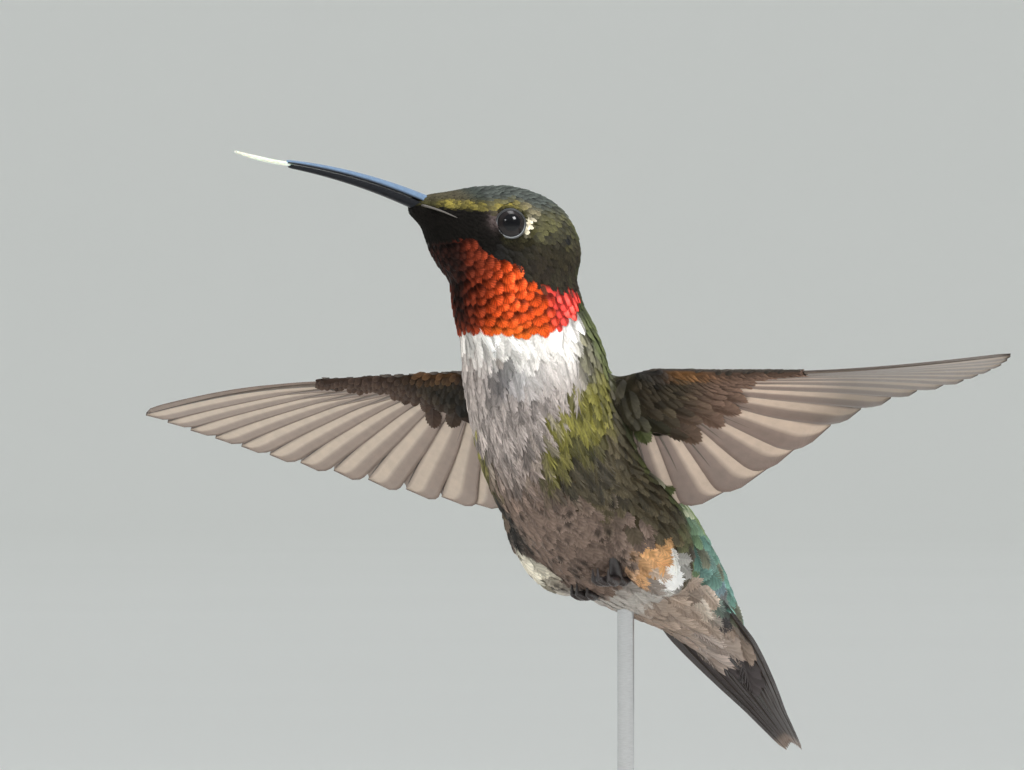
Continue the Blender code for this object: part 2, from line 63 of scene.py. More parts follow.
# Stations along the head and the body: forward, up, half-width and half-depth.
HEAD_STATIONS = [
    (-6.7, -0.1, 1.4, 1.4),
    (-5.6, -0.1, 3.3, 3.3),
    (-3.3, 0.0, 4.9, 5.1),
    (0.0, 0.3, 5.4, 5.7),
    (3.2, 0.85, 5.0, 5.35),
    (6.2, 1.8, 3.75, 4.0),
    (8.6, 2.65, 2.25, 2.15),
    (10.4, 2.95, 1.3, 1.2),
]
SPINE_STATIONS = [
    (8.2, 20.8, 5.2, 6.2),
    (7.8, 17.2, 5.6, 6.5),
    (6.1, 13.2, 5.9, 6.6),
    (4.7, 10.0, 6.6, 7.1),
    (3.4, 6.2, 6.8, 6.9),
    (1.0, 1.6, 7.1, 7.1),
    (-2.6, -2.0, 7.2, 7.0),
    (-6.4, -4.6, 7.0, 6.8),
    (-10.4, -6.9, 6.7, 6.4),
    (-14.1, -8.9, 6.0, 5.5),
    (-17.5, -11.0, 5.2, 4.3),
    (-20.6, -13.2, 4.3, 3.1),
    (-23.3, -15.5, 3.5, 2.0),
    (-24.8, -16.8, 2.3, 1.2),
]
# Its middle, its pitch in degrees, and half its length, width and depth.
FLANK_TUFT = ((5.8, -5.2, -5.5), 45.0, 7.6, 3.0, 4.6)
BILL_ROOT = (8.0, 2.8)
BILL_RISE = 15.0
BILL_LENGTH = 17.5
BILL_ROOT_RADIUS = 0.92
BILL_TIP_RADIUS = 0.34
BILL_ARCH = 0.6
TONGUE_LENGTH = 5.0
TONGUE_RADIUS = 0.27
TONGUE_LIFT = 0.35
EYE_RADIUS = 1.7
EYE_PLACE = (3.8, 2.7, 2.15)
TAIL_ROOT = (0.0, -14.4, -8.6)
TAIL_DROP = 40.0
TAIL_LENGTH = 27.5
TAIL_FORK = 0.8
SHOULDER = (5.2, -0.7, 9.6)
WING_SPAN = 45.0
Wing = namedtuple("Wing", "sign sweep dihedral root_pitch tip_pitch fade tip_lift")
WINGS = {
    "left": Wing(1, -2.0, -1.6, 82.0, 7.0, 4.6, 3.0),
    "right": Wing(-1, -9.0, -2.4, 60.0, 30.0, 1.2, 0.0),
}
# Tips and roots of the flight feathers, out and back on the wing, from the outermost inwards.
FEATHER_TIPS = [(45.0, 4.6), (40.5, 8.4), (34.0, 11.4), (25.0, 13.4), (14.5, 15.2), (6.5, 15.5), (0.5, 12.5)]
FEATHER_ROOTS = [(15.5, 1.1), (13.4, 1.1), (11.0, 1.1), (8.5, 1.6), (6.0, 2.3), (3.5, 3.0), (0.0, 3.6)]
PRIMARIES = 10
SECONDARIES = 6
# Stations along a wing's arm: out, back to its front edge, chord and thickness.
ARM_STATIONS = [
    (-2.0, 0.8, 3.6, 2.6),
    (1.5, 0.2, 6.4, 3.0),
    (5.0, -0.3, 8.2, 2.6),
    (8.5, -0.4, 7.2, 2.0),
    (12.0, -0.4, 5.2, 1.5),
    (16.0, -0.4, 3.0, 1.1),
    (23.0, -0.4, 1.4, 0.8),
]
BASE_RADIUS = 28.0
BASE_HEIGHT = 6.0
BASE_RIM = 1.8
ROD_RADIUS = 0.8
ROD_REACH_MM = 38.0
# Each foot's sign, ankle and knuckle.
FEET = {
    "left": (1, (4.5, -1.9, -7.2), (4.1, -2.8, -10.0)),
    "right": (-1, (-1.6, -5.0, -9.0), (-1.2, -6.4, -11.4)),
}

# ---------------------------------------------------------------- numbers and places


def unit(vectors):
    """Vectors scaled to length 1."""
    vectors = np.asarray(vectors, float)
    return vectors / np.maximum(np.linalg.norm(vectors, axis=-1, keepdims=True), 1e-12)


def dots(first, second):
    """The dot product of each pair of vectors."""
    return (first * second).sum(1)


def ease(value, low, high):
    """0 below low, 1 above high, and smooth between. Low may be above high."""
    share = np.clip((np.asarray(value, float) - low) / (high - low), 0.0, 1.0)
    return share * share * (3 - 2 * share)


def window(value, low, high, soft):
    """1 between low and high, fading to 0 over soft at each end."""
    return ease(value, low - soft, low + soft) * ease(value, high + soft, high - soft)


def mound(*pairs):
    """A smooth hump: each pair is (distance from its middle, half-width)."""
    return np.exp(-0.5 * sum((np.asarray(d, float) / w) ** 2 for d, w in pairs))


def smooth_line(points, share):
    """Points at shares 0 to 1 along a smooth curve through these, evenly spread in share."""
    points = np.asarray(points, float)
    last = len(points) - 1
    place = np.clip(np.asarray(share, float), 0.0, 1.0) * last
    i = np.minimum(place.astype(int), last - 1)
    t = (place - i)[..., None]
    ends = np.vstack([2 * points[0] - points[1], points, 2 * points[-1] - points[-2]])
    p0, p1, p2, p3 = ends[i], ends[i + 1], ends[i + 2], ends[i + 3]
    bend = (2 * p0 - 5 * p1 + 4 * p2 - p3) * t**2 + (3 * p1 - p0 - 3 * p2 + p3) * t**3
    return 0.5 * (2 * p1 + (p2 - p0) * t + bend)


def smooth_number(table, share):
    """A table's number at shares 0 to 1 along it, smoothly."""
    return smooth_line(np.array(table)[:, None], share)[:, 0]


def turns(count):
    """Angles evenly round a circle."""
    return np.linspace(0, 2 * np.pi, count, endpoint=False)


def spin(axis, degrees):
    """A turn about an axis, as a matrix."""
    return np.array(Matrix.Rotation(math.radians(degrees), 3, axis))


def body_place(left, forward, up):
    """A place on the bird, in the frame's millimetres."""
    left, forward, up = np.broadcast_arrays(left, forward, up)
    return np.stack([left, -forward - TRUNK_AHEAD_MM, up + HOVER_MM], axis=-1).astype(float)


def to_body(points):
    """(left, forward, up) of frame points."""
    return points[..., 0], -points[..., 1] - TRUNK_AHEAD_MM, points[..., 2] - HOVER_MM


HEAD_MIDDLE = body_place(*HEAD_CENTRE)
HEAD_TURN = spin("Z", 180.0 - HEAD_YAW) @ spin("X", HEAD_PITCH)


def head_place(left, forward, up):
    """A place on the head, in the frame's millimetres."""
    left, forward, up = np.broadcast_arrays(left, forward, up)
    return HEAD_MIDDLE + np.stack([-left, forward, up], axis=-1) @ HEAD_TURN.T


def to_head(points):
    """(left, forward, up) of frame points from the head's centre, along the head's axes."""
    local = (points - HEAD_MIDDLE) @ HEAD_TURN
    return -local[..., 0], local[..., 1], local[..., 2]


def head_way(left, forward, up):
    """A direction given along the head's axes."""
    return unit(np.array([-left, forward, up]) @ HEAD_TURN.T)


def wing_frame(side, out_mm):
    """The shoulder, and the wing's directions out, back and over at this distance out."""
    wing = WINGS[side]
    shoulder = body_place(wing.sign * SHOULDER[0], SHOULDER[1], SHOULDER[2])
    sweep, dihedral = math.radians(wing.sweep), math.radians(wing.dihedral)
    level = math.cos(dihedral)
    out = np.array([wing.sign * math.cos(sweep) * level, math.sin(sweep) * level, math.sin(dihedral)])
    share = np.clip(np.asarray(out_mm, float) / WING_SPAN, 0.0, 1.0)
    angle = np.radians(wing.tip_pitch + (wing.root_pitch - wing.tip_pitch) * (1 - share) ** wing.fade)
    none = np.zeros_like(angle)
    back = np.stack([none, np.cos(angle), -np.sin(angle)], axis=-1)
    over = np.stack([none, np.sin(angle), np.cos(angle)], axis=-1)
    back = unit(back - out * (back @ out)[..., None])
    over = unit(over - out * (over @ out)[..., None])
    return shoulder, out, back, over, share


def wing_point(side, out_mm, back_mm, lift=0.0):
    """A point of the wing's middle surface, or lift millimetres over it: pitched, twisted and cambered."""
    out_mm, back_mm, lift = np.broadcast_arrays(*(np.asarray(v, float) for v in (out_mm, back_mm, lift)))
    shoulder, out, back, over, share = wing_frame(side, out_mm)
    camber = 0.9 * np.sin(np.pi * np.clip(back_mm / 14.0, 0.0, 1.0)) * (1 - 0.5 * share) + lift
    bend = (WINGS[side].tip_lift * share**3)[..., None] * np.array(UPWARD)
    return shoulder + out * out_mm[..., None] + back * back_mm[..., None] + over * camber[..., None] + bend


def feather_place(across, along):
    """(out, back) on the wing at across 0, the outermost feather, to 1, and along 0, root, to 1, tip."""
    across, along = np.broadcast_arrays(np.asarray(across, float), np.asarray(along, float))
    root = smooth_line(FEATHER_ROOTS, across)
    tip = smooth_line(FEATHER_TIPS, across)
    place = root + (tip - root) * along[..., None]
    bow = 2.0 * np.sin(np.pi * np.clip(along, 0, 1)) * (1 - np.clip(across, 0, 1)) ** 1.5
    return place[..., 0], place[..., 1] - bow


def tail_width(share):
    """Half the tail's width at this share of its length."""
    taper = 2.95 * np.maximum(share - 0.4, 0.0) ** 1.2 / 0.54
    return 4.1 + 0.7 * np.sin(np.pi * np.minimum(share / 0.8, 1.0)) - taper


def tail_arch(across, half_width):
    """How far the tail's blade stands over its plane."""
    return (0.15 + 0.65 * (1 - across * across)) * half_width / 4.8


def tail_point(across, share, lift=0.0):
    """A point of the tail's middle surface, or lift over it. across is -1 at its right, 1 at its left."""
    across, share, lift = np.broadcast_arrays(*(np.asarray(v, float) for v in (across, share, lift)))
    drop = math.radians(TAIL_DROP)
    half_width = tail_width(share)
    fork = TAIL_FORK * (1 - np.abs(across)) * np.maximum(share - 0.75, 0.0) / 0.25
    along = TAIL_LENGTH * share - fork
    arch = tail_arch(across, half_width) + lift
    forward = TAIL_ROOT[1] - along * math.cos(drop) - arch * math.sin(drop)
    up = TAIL_ROOT[2] - along * math.sin(drop) + arch * math.cos(drop)
    return body_place(across * half_width, forward, up)


def by_tail(left, forward, up):
    """How far places are along the tail, their share across it, and how far they are over its blade."""
    drop = math.radians(TAIL_DROP)
    along = (TAIL_ROOT[1] - forward) * math.cos(drop) + (TAIL_ROOT[2] - up) * math.sin(drop)
    half_width = tail_width(np.clip(along / TAIL_LENGTH, 0, 1))
    across = np.clip(left / half_width, -1, 1)
    over = (up - TAIL_ROOT[2]) * math.cos(drop) - (forward - TAIL_ROOT[1]) * math.sin(drop)
    return along, across, over - tail_arch(across, half_width)


def clear_of_tail(points, side):
    """Places moved over the tail's blade where side is 1, and under it where side is -1."""
    along, across, rise = by_tail(*to_body(points))
    over = np.maximum(rise, 0.30 - 0.30 * np.abs(across))
    under = np.minimum(rise, -0.18 - 0.36 * np.abs(across))
    wanted = np.where(side > 0, over, np.where(side < 0, under, rise))
    drop = math.radians(TAIL_DROP)
    shift = (wanted - rise) * ease(along, 0.0, 3.0)
    return points + shift[:, None] * np.array([0.0, math.sin(drop), math.cos(drop)])


class Mottle:
    """Smooth random variation over space, about -1 to 1, with patches of about this size."""

    WAVES = 14

    def __init__(self, size_mm):
        self.waves = random.normal(size=(self.WAVES, 3)) / size_mm * 2.2
        self.starts = random.uniform(0, 2 * math.pi, self.WAVES)

    def __call__(self, points):
        return np.cos(points @ self.waves.T + self.starts).sum(-1) / math.sqrt(self.WAVES / 2) * 0.7


# ---------------------------------------------------------------- meshes and materials


def added(name, data):
    """A new object in the scene."""
    obj = bpy.data.objects.new(name, data)
    bpy.context.scene.collection.objects.link(obj)
    return obj


def make(name, points, faces, finish, colours=None, maps=()):
    """A mesh piece of the bird or its stand. faces all have the same number of corners."""
    points = np.asarray(points, float).reshape(-1, 3)
    faces = np.asarray(faces, int)
    mesh = bpy.data.meshes.new(name)
    corners = faces.shape[1]
    mesh.vertices.add(len(points))
    mesh.vertices.foreach_set("co", (points * MM).astype(np.float32).ravel())
    mesh.loops.add(faces.size)
    mesh.loops.foreach_set("vertex_index", faces.astype(np.int32).ravel())
    mesh.polygons.add(len(faces))
    mesh.polygons.foreach_set("loop_start", np.arange(0, faces.size, corners, dtype=np.int32))
    mesh.polygons.foreach_set("loop_total", np.full(len(faces), corners, dtype=np.int32))
    mesh.update(calc_edges=True)
    if colours is not None:
        layer = mesh.color_attributes.new(name="tint", type="FLOAT_COLOR", domain="POINT")
        filled = np.ones((len(points), 4), np.float32)
        filled[:, :3] = np.clip(colours, 0.0, 1.0)
        layer.data.foreach_set("color", filled.ravel())
    for map_name, places in maps:
        layer = mesh.uv_layers.new(name=map_name)
        layer.data.foreach_set("uv", np.asarray(places, np.float32)[faces.ravel()].ravel())
    mesh.polygons.foreach_set("use_smooth", np.full(len(faces), True))
    mesh.materials.append(finish)
    piece = added(name, mesh)
    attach(piece, "root")
    return piece


def grid_faces(rows, columns, closed=False):
    """Quads of a grid of points held row by row. closed joins the last column to the first."""
    i = np.arange(rows - 1)[:, None]
    j = np.arange(columns if closed else columns - 1)[None]
    k = (j + 1) % columns
    near, far = i * columns, (i + 1) * columns
    return np.stack(np.broadcast_arrays(near + j, near + k, far + k, far + j), -1).reshape(-1, 4)


def join(parts):
    """Point and face lists as one. Each part is (points, faces, ...), with anything further per point."""
    starts = np.cumsum([0] + [len(part[0]) for part in parts[:-1]])
    joined = [np.concatenate([part[i] for part in parts]) for i in range(len(parts[0])) if i != 1]
    faces = np.concatenate([part[1] + start for part, start in zip(parts, starts)])
    return (joined[0], faces, *joined[1:])


def tube(line, radii, segments=12):
    """A round tube along these points, closed at its ends by shrunken rings."""
    line = np.asarray(line, float)
    radii = np.broadcast_to(np.asarray(radii, float), len(line))
    along = unit(np.gradient(line, axis=0))
    side = unit(np.cross(along, UPWARD))
    rise = np.cross(side, along)
    turn = turns(segments)
    ring = side[:, None] * np.cos(turn)[None, :, None] + rise[:, None] * np.sin(turn)[None, :, None]
    body = line[:, None] + ring * radii[:, None, None]
    ends = [line[:1, None] + ring[:1] * 1e-3, body, line[-1:, None] + ring[-1:] * 1e-3]
    points = np.concatenate(ends).reshape(-1, 3)
    return points, grid_faces(len(line) + 2, segments, closed=True)


class Finish:
    """A node material under construction, with short ways to add and join its nodes."""

    def __init__(self, name, roughness=0.5, **sockets):
        self.material = bpy.data.materials.new(name)
        self.material.use_nodes = True
        self.tree = self.material.node_tree
        self.shader = self.tree.nodes["Principled BSDF"]
        self.shader.inputs["Roughness"].default_value = roughness
        for socket, value in sockets.items():
            self.shader.inputs[socket.replace("_", " ")].default_value = value

    def node(self, kind, inputs=None, **settings):
        """A node with these settings, its inputs joined to sockets or set to values."""
        made = self.tree.nodes.new("ShaderNode" + kind)
        for key, value in settings.items():
            setattr(made, key, value)
        for key, value in (inputs or {}).items():
            if isinstance(value, bpy.types.NodeSocket):
                self.tree.links.new(value, made.inputs[key])
            else:
                made.inputs[key].default_value = value
        return made

    def own_colour(self):
        """The colours that make keeps in a mesh."""
        return self.node("VertexColor", layer_name="tint").outputs["Color"]

    def ramp(self, by, dark, pale, start=0.0, end=1.0):
        """A colour that goes from dark to pale as by goes from start to end."""
        made = self.node("ValToRGB", {"Fac": by})
        for stop, place, colour in zip(made.color_ramp.elements, (start, end), (dark, pale)):
            stop.position = place
            stop.color = (*colour, 1)
        return made.outputs["Color"]

    def base(self, socket):
        """Takes the surface's colour from this socket."""
        self.tree.links.new(socket, self.shader.inputs["Base Color"])

    def rough(self, value, low, high):
        """Lets roughness go from low to high with this socket."""
        spread = self.node("MapRange", {"Value": value, "To Min": low, "To Max": high})
        self.tree.links.new(spread.outputs["Result"], self.shader.inputs["Roughness"])

    def relief(self, height, strength, depth_mm):
        """Fine relief from this socket."""
        bump = self.node("Bump", {"Height": height, "Strength": strength, "Distance": depth_mm * MM})
        self.tree.links.new(bump.outputs["Normal"], self.shader.inputs["Normal"])

    def noise(self, size_mm, detail=3.0, stretch=(1, 1, 1)):
        """Noise in the object's own space, with features of about this size."""
        place = self.node("TexCoord").outputs["Object"]
        scaled = self.node("Mapping", {"Vector": place, "Scale": stretch}).outputs["Vector"]
        settings = {"Vector": scaled, "Scale": 1 / (size_mm * MM), "Detail": detail}
        return self.node("TexNoise", settings).outputs["Fac"]

    def tinted(self, socket, amount, by):
        """The colour, darkened and lightened by amount as by goes from 0 to 1."""
        spread = self.node("MapRange", {"Value": by, "To Min": 1 - amount, "To Max": 1 + amount})
        sockets = {"Factor": 1.0, 6: socket, 7: spread.outputs["Result"]}
        return self.node("Mix", sockets, data_type="RGBA", blend_type="MULTIPLY").outputs[2]


def coat_finish(name, roughness, metallic=0.0, sheen=0.0, grain=0.16, gloss=0.5):
    """The finish of small feathers: their own colours, with fine barbules across them."""
    sockets = dict(Metallic=metallic, Sheen_Weight=sheen, Sheen_Roughness=0.5, Specular_IOR_Level=gloss)
    made = Finish(name, roughness, **sockets)
    fine = made.noise(0.09, 2.0)
    made.base(made.tinted(made.own_colour(), grain, fine))
    made.rough(made.noise(0.3), roughness - 0.08, roughness + 0.1)
    made.relief(fine, 0.35, 0.03)
    return made.material


# ---------------------------------------------------------------- the skin


def add_rings(work, rings):
    """Quads between rings of as many points, with both ends closed."""
    made = [[work.verts.new(Vector(p) * MM) for p in ring] for ring in rings]
    for near, far in zip(made, made[1:]):
        for j in range(len(near)):
            work.faces.new((near[j - 1], near[j], far[j], far[j - 1]))
    work.faces.new(made[0])
    work.faces.new(made[-1])


def loft_rings(stations, between, place):
    """Oval rings (forward, up, half-width, half-depth) in a plane of symmetry, as in the CAD."""
    steps = (len(stations) - 1) * between
    turn = turns(28)
    table = np.array(stations)
    rings = []
    for i in range(steps + 1):
        share = i / steps
        forward, up, width, depth = smooth_line(table, share)
        along = unit(smooth_line(table[:, :2], share + 0.01) - smooth_line(table[:, :2], share - 0.01))
        over = depth * np.sin(turn)
        rings.append(place(width * np.cos(turn), forward - along[1] * over, up + along[0] * over))
    return rings


def arm_rings(side):
    """Rings round a wing's arm, from inside the shoulder outwards."""
    rings = []
    turn = turns(20)
    for share in np.linspace(0, 1, 25):
        out_mm, front, chord, thick = smooth_line(ARM_STATIONS, share)
        back = front + chord * (1 - np.cos(turn)) / 2
        rings.append(wing_point(side, out_mm, back, thick / 2 * np.sin(turn)))
    return rings


SKIN_CELL_MM = 0.27
SKIN_SOFTENING = 26
# The feathered face runs out along the bill a little further than the CAD's solid head.
FACE_END = (11.4, 3.15, 0.84, 0.82)


def flesh():
    """Head, neck, trunk and the wings' arms melted into one form, as (points, quads, normals)."""
    work = bmesh.new()
    add_rings(work, loft_rings(SPINE_STATIONS, 3, body_place))
    add_rings(work, loft_rings(HEAD_STATIONS + [FACE_END], 3, head_place))
    (left, forward, up), pitch, half_length, half_width, half_depth = FLANK_TUFT
    lie = Matrix(spin("Z", 180.0) @ spin("X", pitch)).to_4x4()
    size = Matrix.Diagonal((half_width * MM, half_length * MM, half_depth * MM, 1.0))
    for sign in (1, -1):
        place = Matrix.Translation(Vector(body_place(sign * left, forward, up)) * MM)
        bmesh.ops.create_icosphere(work, subdivisions=4, radius=1.0, matrix=place @ lie @ size)
    for side in WINGS:
        add_rings(work, arm_rings(side))
    bmesh.ops.recalc_face_normals(work, faces=work.faces)
    mesh = bpy.data.meshes.new("flesh")
    work.to_mesh(mesh)
    work.free()
    obj = added("flesh", mesh)
    melt = obj.modifiers.new("melt", "REMESH")
    melt.mode = "VOXEL"
    melt.voxel_size = SKIN_CELL_MM * MM
    soften = obj.modifiers.new("soften", "SMOOTH")
    soften.factor = 0.5
    soften.iterations = SKIN_SOFTENING
    graph = bpy.context.evaluated_depsgraph_get()
    shaped = obj.evaluated_get(graph).to_mesh()
    points = np.empty(len(shaped.vertices) * 3, np.float32)
    shaped.vertices.foreach_get("co", points)
    quads = np.empty(len(shaped.loops), np.int32)
    shaped.loops.foreach_get("vertex_index", quads)
    normals = np.empty(len(shaped.vertices) * 3, np.float32)
    shaped.vertex_normals.foreach_get("vector", normals)
    bpy.data.objects.remove(obj, do_unlink=True)
    bpy.data.meshes.remove(mesh)
    return points.reshape(-1, 3) / MM, quads.reshape(-1, 4), normals.reshape(-1, 3).astype(float)


# The line that the lie of the coat follows, from the bill's base through the head to the tail.
LINE_POINTS = np.array(
    [
        head_place(0, 10.8, 3.1),
        head_place(0, 6.4, 1.9),
        head_place(0, 2.6, 0.6),
        head_place(0, -1.0, -0.2),
        body_place(0, 7.7, 17.2),
    ]
    + [body_place(0, forward, up) for forward, up, _, _ in SPINE_STATIONS[2:]]
    + [body_place(0, -27.5, -20.2)]
)
LINE = smooth_line(LINE_POINTS, np.linspace(0, 1, 110))
LINE_WAY = unit(np.gradient(LINE, axis=0))
# Millimetres along the line from the face's end in the CAD, a little behind the line's start.
LINE_REACH = np.concatenate([[0], np.cumsum(np.linalg.norm(np.diff(LINE, axis=0), axis=1))]) - 1.2
PAST_HEAD = ease(LINE_REACH, 11, 20)[:, None]
LINE_LEFT = unit(head_way(1, 0, 0) * (1 - PAST_HEAD) + np.array([1.0, 0, 0]) * PAST_HEAD)


# How widely the line's values blend for markings, and for the lie of the coat.
MARKING_BLEND_MM = 1.6
LIE_BLEND_MM = 4.5


POINTS_AT_ONCE = 8000


def by_line(points, values, reach_mm):
    """Values held along the line, blended at each point by its distance from the line's points."""
    blended = np.empty((len(points), values.shape[1]))
    for first in range(0, len(points), POINTS_AT_ONCE):
        part = points[first:first + POINTS_AT_ONCE]
        away = ((part[:, None] - LINE[None]) ** 2).sum(2)
        weights = np.exp(-(away - away.min(1, keepdims=True)) / (2 * reach_mm**2))
        blended[first:first + POINTS_AT_ONCE] = weights @ values / weights.sum(1, keepdims=True)
    return blended


class Places:
    """Where points are on the bird, in each of the ways that markings and feathers use."""

    def __init__(self, points):
        self.points = points
        self.left, self.forward, self.up = to_body(points)
        self.head_left, self.head_forward, self.head_up = to_head(points)
        near = by_line(points, np.column_stack([LINE_REACH, LINE, LINE_WAY, LINE_LEFT]), MARKING_BLEND_MM)
        self.reach = near[:, 0]
        way = unit(near[:, 4:7])
        left = unit(near[:, 7:10] - way * (near[:, 7:10] * way).sum(1, keepdims=True))
        front = np.cross(way, left)
        away = points - near[:, 1:4]
        # Degrees round the body from the middle of its front, up to 180 at the middle of its back.
        turn = np.degrees(np.arctan2(dots(away, left), dots(away, front)))
        self.turn, self.round = turn, np.abs(turn)
        # At the tail's root, the side of the tail's plane decides instead.
        _, _, rise = by_tail(self.left, self.forward, self.up)
        late = ease(self.reach, 58.0, 60.5)
        by_plane = 88 + 50 * ease(rise, -0.3, 0.9) - 50 * ease(rise, 0.3, -0.9)
        self.round = self.round * (1 - late) + by_plane * late
        none = np.zeros(len(points))
        self.on_wing, self.wing_out, self.wing_back, self.wing_over = none, none, none, none
        self.wing_way, self.wing_up = np.zeros_like(points), np.zeros_like(points)
        for side in WINGS:
            shoulder, out, _, _, _ = wing_frame(side, 0.0)
            out_mm = (points - shoulder) @ out
            _, _, back, over, _ = wing_frame(side, out_mm)
            back_mm = dots(points - shoulder, back)
            middle = wing_point(side, out_mm, back_mm)
            over_mm = dots(points - middle, over)
            here = ease(out_mm, 1.9, 3.3) * (np.abs(over_mm) < 2.6) * (back_mm > -2.5) * (back_mm < 11)
            on = here > self.on_wing
            wide = on[:, None]
            self.on_wing = np.where(on, here, self.on_wing)
            self.wing_out = np.where(on, out_mm, self.wing_out)
            self.wing_back = np.where(on, back_mm, self.wing_back)
            self.wing_over = np.where(on, over_mm, self.wing_over)
            self.wing_way = np.where(wide, unit(out * 0.55 + back * 0.85), self.wing_way)
            self.wing_up = np.where(wide, over, self.wing_up)


EYE_AXIS = (0.93, 0.34, 0.12)
EYE_OPENING = 1.3
LID_REACH = 2.5


def eye_of(side):
    """An eye's middle and the way it looks. side is 1 for the left."""
    left, forward, up = EYE_PLACE
    return head_place(side * left, forward, up), head_way(side * EYE_AXIS[0], EYE_AXIS[1], EYE_AXIS[2])


def from_eye(points):
    """How far each point in front of the nearer eye's middle is from that eye's axis."""
    aside = np.full(len(points), 99.0)
    away = np.full(len(points), 99.0)
    for side in (1, -1):
        middle, axis = eye_of(side)
        offset = points - middle
        ahead = offset @ axis
        near = np.linalg.norm(offset - ahead[:, None] * axis, axis=1)
        far = np.linalg.norm(offset, axis=1)
        facing = (ahead > 0) & (far < away)
        aside = np.where(facing, near, aside)
        away = np.where(facing, far, away)
    return aside


# ---------------------------------------------------------------- markings with painted light, and sizes of feathers

WHITE = (0.88, 0.84, 0.80)
BREAST_GREY = (0.43, 0.37, 0.345)
BELLY_BROWN = (0.175, 0.123, 0.098)
VENT_WHITE = (0.48, 0.45, 0.42)
UNDERTAIL = (0.37, 0.29, 0.235)
FLANK_GREEN = (0.160, 0.145, 0.028)
FLANK_BROWN = (0.066, 0.052, 0.028)
BUFF = (0.78, 0.43, 0.19)
TUFT_WHITE = (1.0, 0.99, 0.97)
CREAM = (0.82, 0.77, 0.64)
BACK_GREEN = (0.075, 0.088, 0.03)
RUMP_TEAL = (0.085, 0.17, 0.14)
CROWN = (0.044, 0.052, 0.045)
GOLD = (0.225, 0.185, 0.045)
FACE_BLACK = (0.007, 0.006, 0.005)
CHEEK_BROWN = (0.020, 0.014, 0.009)
HEAD_OLIVE = (0.046, 0.042, 0.018)
# The gorget's red, swept from dark to coral by painted iridescent sheen.
GORGET_DARK = (0.030, 0.010, 0.007)
GORGET_BRICK = (0.36, 0.054, 0.020)
GORGET_ORANGE = (0.96, 0.115, 0.020)
GORGET_AMBER = (1.0, 0.21, 0.025)
GORGET_CORAL = (1.0, 0.085, 0.065)
WING_DARK = (0.045, 0.034, 0.021)
WING_GREEN = (0.075, 0.095, 0.035)
RUST = (0.34, 0.15, 0.05)
UNDERTAIL_TIP = (0.46, 0.40, 0.37)
NECK_OLIVE = (0.14, 0.13, 0.082)
TAIL_SIDE_PALE = (0.46, 0.41, 0.35)
TAIL_SIDE_BLACK = (0.060, 0.053, 0.056)
RUMP_BLUE = (0.10, 0.13, 0.20)
RUMP_BROWN = (0.11, 0.095, 0.06)
RUMP_GREEN = (0.12, 0.16, 0.05)
# Painted shadow and painted shade of the breast's fold.
FOLD_SHADOW_BLUE = (0.19, 0.195, 0.225)
FOLD_SHADE_DARK = (0.06, 0.055, 0.055)
# Painted shadow under each wing's root.
PIT_SHADOW = (0.045, 0.038, 0.022)
# The far flank's painted shadow.
WEDGE_SHADOW = (0.020, 0.019, 0.017)
PALE_EDGE = (0.40, 0.39, 0.30)
STRAND_PINK = (0.52, 0.42, 0.37)
FORECROWN_BROWN = (0.085, 0.070, 0.042)
BROW_TAN = (0.15, 0.13, 0.075)
EAR_OLIVE = (0.115, 0.108, 0.034)
LORE_GREY = (0.20, 0.15, 0.145)
EYE_SPOT = (1.0, 0.90, 0.68)
COVERT_BROWN = (0.150, 0.092, 0.067)
# Dark, with a painted blue sheen.
LEADING_EDGE_SHEEN = (0.04, 0.046, 0.05)
WING_BROWN = (0.06, 0.048, 0.038)

patches = Mottle(2.6)
flecks = Mottle(0.9)
streaks = Mottle(0.5)


def mix(base, colour, share):
    """Colours moved towards another by a share at each place."""
    share = np.clip(np.asarray(share, float), 0.0, 1.0)[:, None]
    return base * (1 - share) + np.asarray(colour, float) * share


def layered(colour, count, *layers):
    """A colour at each of count places, with others laid over it in turn, each given with its share."""
    colour = np.broadcast_to(colour, (count, 3))
    for laid, share in layers:
        colour = mix(colour, laid, share)
    return colour


# Heights of the gorget's upper edge, at even steps from 6 mm behind the head's centre to 10 mm ahead.
GORGET_TOP = [-3.3, -3.0, -3.1, -3.3, -3.0, -2.1, -1.2, -0.6, 0.3, 0.0, -0.8]


def gorget_top(forward):
    """The gorget's upper edge on the head, up as it goes forward under the cheek and eye."""
    return smooth_number(GORGET_TOP, (forward + 6) / 16)


def gorget_foot(forward):
    """The gorget's lower edge on the throat, rising to its rear corners."""
    rise = 0.45 * ease(forward, 0.5, -2.0) + 1.4 * ease(forward, -1.0, -4.6)
    return -7.65 + rise + 2.6 * ease(forward, -4.2, -6.0)


def gorget_share(at):
    """Where the gorget is, with narrow soft edges."""
    soft = 0.12
    top, foot = gorget_top(at.head_forward), gorget_foot(at.head_forward)
    ahead = ease(at.head_forward, -6.2, -5.8)
    under = ease(at.head_up, top + soft, top - soft)
    over = ease(at.head_up, foot - soft, foot + soft)
    return ahead * under * over * (at.on_wing < 0.1)


def gorget_colour_and_sheen(at):
    """Red, swept by painted iridescent sheen: dark in front, then brick, orange red, coral at the rear
    corners, amber along its foot.
    """
    # How far each place turns from the throat's front sets the painted sheen.
    turned = 0.5 * np.abs(at.head_left + 1.2) - 0.6 - 0.862 * at.head_forward + 0.5 * patches(at.points)
    turned = turned + 0.28 * np.maximum(at.head_up + 5.5, 0)
    low = ease(at.head_up, -5.2, -8.0)
    return layered(
        GORGET_DARK, len(at.points),
        (GORGET_BRICK, ease(turned + 0.9 * low, -4.6, -2.6)),
        (GORGET_ORANGE, ease(turned + 1.0 * low, -2.9, -0.3)),
        (GORGET_AMBER, 0.85 * low * window(turned, -1.2, 3.2, 1.0)),
        (GORGET_CORAL, ease(turned, 3.3, 4.9)),
    )


